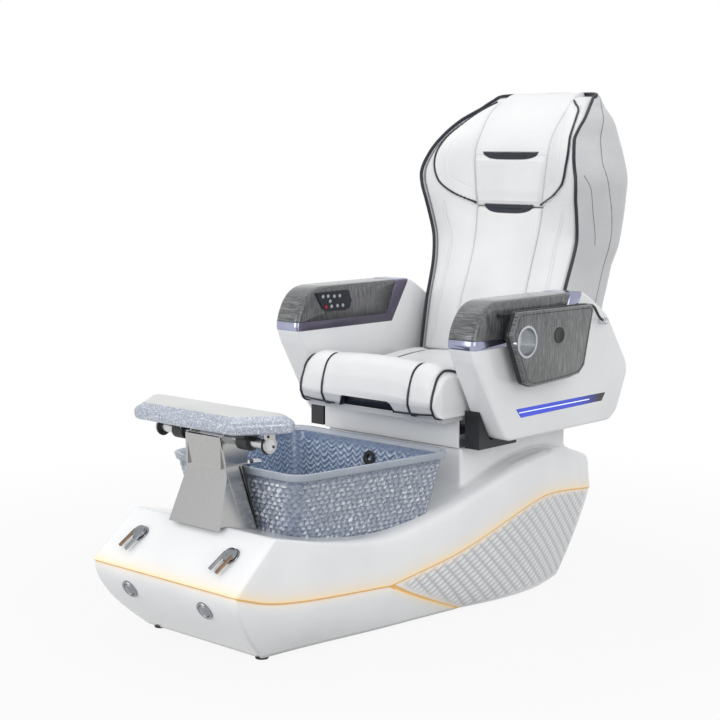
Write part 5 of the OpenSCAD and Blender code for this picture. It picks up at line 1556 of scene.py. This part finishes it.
def slotForm(slot):
    def place(u, v):
        x = math.sin((u - 0.5) * math.pi) * (slot["halfW"] - 1)
        z = mix(slotFoot(slot, abs(x)) + 0.5, slot["z"] + slot["height"] / 2 - 0.5, v)
        return at(x, backFront(x, z) - 1.6 - 1.0 * math.sin(math.pi * v), z)
    return skin(60, 8, place)


slots = addPiece("neckSlots", joined([slotForm(slot) for slot in neckSlots]), navyLeather, "back")
shaped(slots, "SOLIDIFY", thickness=back["slotLining"] / 1000, offset=0)
print("backrest done")

# piping and stitching
piping = {"radius": 5.4, "head": 3.4, "lift": 4.6, "thread": (4.6, 2.6, 0.9)}
sideLine = smoothLine([at(along(edgeXKeys, z) - 5, along(edgeYKeys, z) - 1, z)
                       for z in (660, 700, 760, 820, 880, 927, 970, 1013, 1046, 1079, 1110, 1141, 1175,
                                 1208, 1227, 1246, 1265, 1287, 1306, 1325, 1353, 1381, 1400, 1418, 1432,
                                 1445)], 150)
crestRight = [sideLine[-1], at(180, 1630, 1460), at(80, 1660, 1462)]
crest = smoothLine(crestRight + [at(0, 1664, 1463)] + otherSide(reversed(crestRight)), 60)
outerLine = sideLine + crest[1:-1] + otherSide(reversed(sideLine))
headBead = [at(p.x, backFront(p.x, p.y) - piping["lift"], p.y) for p in headLine[2:]]


def shellLine(places, low, high, count):
    # a thread line over the shell at the given share of its depth, by height
    line = []
    for i in range(count + 1):
        z = mix(low, high, i / count)
        line.append(shellPointBack(0.45 * along(places, z) / 0.8 / 2,
                                   (z - back["lowZ"]) / (topZ - back["lowZ"])))
    return line


creaseKeys = [(1000, 0.3), (1095, 0.24), (1170, 0.20), (1215, 0.10)]
shellSeams = joined([tube(shellLine(sideSeamKeys, 700, topZ - 4, 160), 1.7, 6),
                     tube(shellLine(creaseKeys, 1000, 1215, 40), 1.3, 6)])
addPiece("shellSeams", mirrored(shellSeams), seamGrey, "back", sharp=80)
backPiping = joined([tube(outerLine, piping["radius"]), mirrored(tube(headBead, piping["head"]))])
addPiece("backPiping", backPiping, navyLeather, "back")


def bolsterThread(offset, low, high, count):
    line = []
    for i in range(count + 1):
        z = mix(low, high, i / count)
        x = bolsterSeam(z) + offset
        line.append(at(x, backFront(x, z) - 0.4, z))
    return line


threads = joined([stitches(bolsterThread(offset, 690, 1110, 90), *piping["thread"]) for offset in (-5, 5)])
addPiece("backStitching", mirrored(threads), threadWhite, "back", sharp=80)
print("piping done")

# stage
stage = {
    "camera": (3.15, -3.487, 1.321), "azimuth": 43, "elevation": 7.7, "lens": 81.6,
    "nearShare": 0.92, "farFrom": 0.9, "farTo": 2.4, "worldShare": 0.98,
}
floorMesh = bmesh.new()
bmesh.ops.create_grid(floorMesh, x_segments=1, y_segments=1, size=30)
mesh = bpy.data.meshes.new("floor")
floorMesh.to_mesh(mesh)
floorMesh.free()
floor = bpy.data.objects.new("floor", mesh)
bpy.context.scene.collection.objects.link(floor)


def makeStageWhite():
    # matt white sweep; a straight or mirrored look at it reads as plain white, fully so away from the chair
    material, tree, shader, place = startMaterial("paperSweepWhite", Base_Color=hexColor("#9b9b9c"),
                                                  Roughness=0.9)
    path = addNode(tree, "ShaderNodeLightPath")
    seen = addNode(tree, "ShaderNodeMath",
                   {0: path.outputs["Is Camera Ray"], 1: path.outputs["Is Glossy Ray"]}, operation="MAXIMUM")
    seen = addNode(tree, "ShaderNodeMath", {0: seen.outputs[0], 1: path.outputs["Is Transmission Ray"]},
                   operation="MAXIMUM")
    away = addNode(tree, "ShaderNodeVectorMath", {0: place}, operation="LENGTH")
    plain = addNode(tree, "ShaderNodeMapRange",
                    {"Value": away.outputs["Value"], 1: stage["farFrom"], 2: stage["farTo"],
                     3: stage["nearShare"], 4: 1.0})
    share = addNode(tree, "ShaderNodeMath", {0: seen.outputs[0], 1: plain.outputs["Result"]},
                    operation="MULTIPLY")
    glow = addNode(tree, "ShaderNodeEmission", {"Color": (1, 1, 1, 1), "Strength": 1.0})
    blend = addNode(tree, "ShaderNodeMixShader",
                    {0: share.outputs[0], 1: shader.outputs[0], 2: glow.outputs[0]})
    tree.links.new(blend.outputs[0], tree.nodes["Material Output"].inputs["Surface"])
    return material


floor.data.materials.append(makeStageWhite())

world = bpy.data.worlds.new("studio")
bpy.context.scene.world = world
world.use_nodes = True
tree = world.node_tree
path = addNode(tree, "ShaderNodeLightPath")
seen = addNode(tree, "ShaderNodeMath", {0: path.outputs["Is Camera Ray"],
                                        1: path.outputs["Is Transmission Ray"]}, operation="MAXIMUM")
room = addNode(tree, "ShaderNodeBackground", {"Color": hexColor("#f6f7f8"), "Strength": stage["worldShare"]})
white = addNode(tree, "ShaderNodeBackground", {"Color": (1, 1, 1, 1), "Strength": 1.0})
blend = addNode(tree, "ShaderNodeMixShader", {0: seen.outputs[0], 1: room.outputs[0], 2: white.outputs[0]})
tree.links.new(blend.outputs[0], tree.nodes["World Output"].inputs["Surface"])

lamps = {
    "key": {"place": (-1.0, -3.9, 1.3), "power": 40, "size": 2.2},
    "fill": {"place": (3.8, -1.8, 1.5), "power": 34, "size": 2.4},
    "top": {"place": (-0.6, 0.2, 3.8), "power": 15, "size": 2.6},
}
for name, lamp in lamps.items():
    light = bpy.data.lights.new(name, "AREA")
    light.energy, light.size = lamp["power"], lamp["size"]
    holder = bpy.data.objects.new(name, light)
    holder.location = lamp["place"]
    holder.rotation_euler = (Vector((0, 0, 0.6)) - Vector(lamp["place"])).to_track_quat("-Z", "Y").to_euler()
    bpy.context.scene.collection.objects.link(holder)

camera = bpy.data.objects.new("camera", bpy.data.cameras.new("camera"))
camera.data.lens, camera.data.sensor_width = stage["lens"], 36
camera.location = stage["camera"]
az, el = math.radians(stage["azimuth"]), math.radians(stage["elevation"])
looking = -Vector((math.sin(az) * math.cos(el), -math.cos(az) * math.cos(el), math.sin(el)))
camera.rotation_euler = looking.to_track_quat("-Z", "Y").to_euler()
bpy.context.scene.collection.objects.link(camera)
bpy.context.scene.camera = camera
bpy.context.scene.view_settings.view_transform = "Standard"
print("stage done")
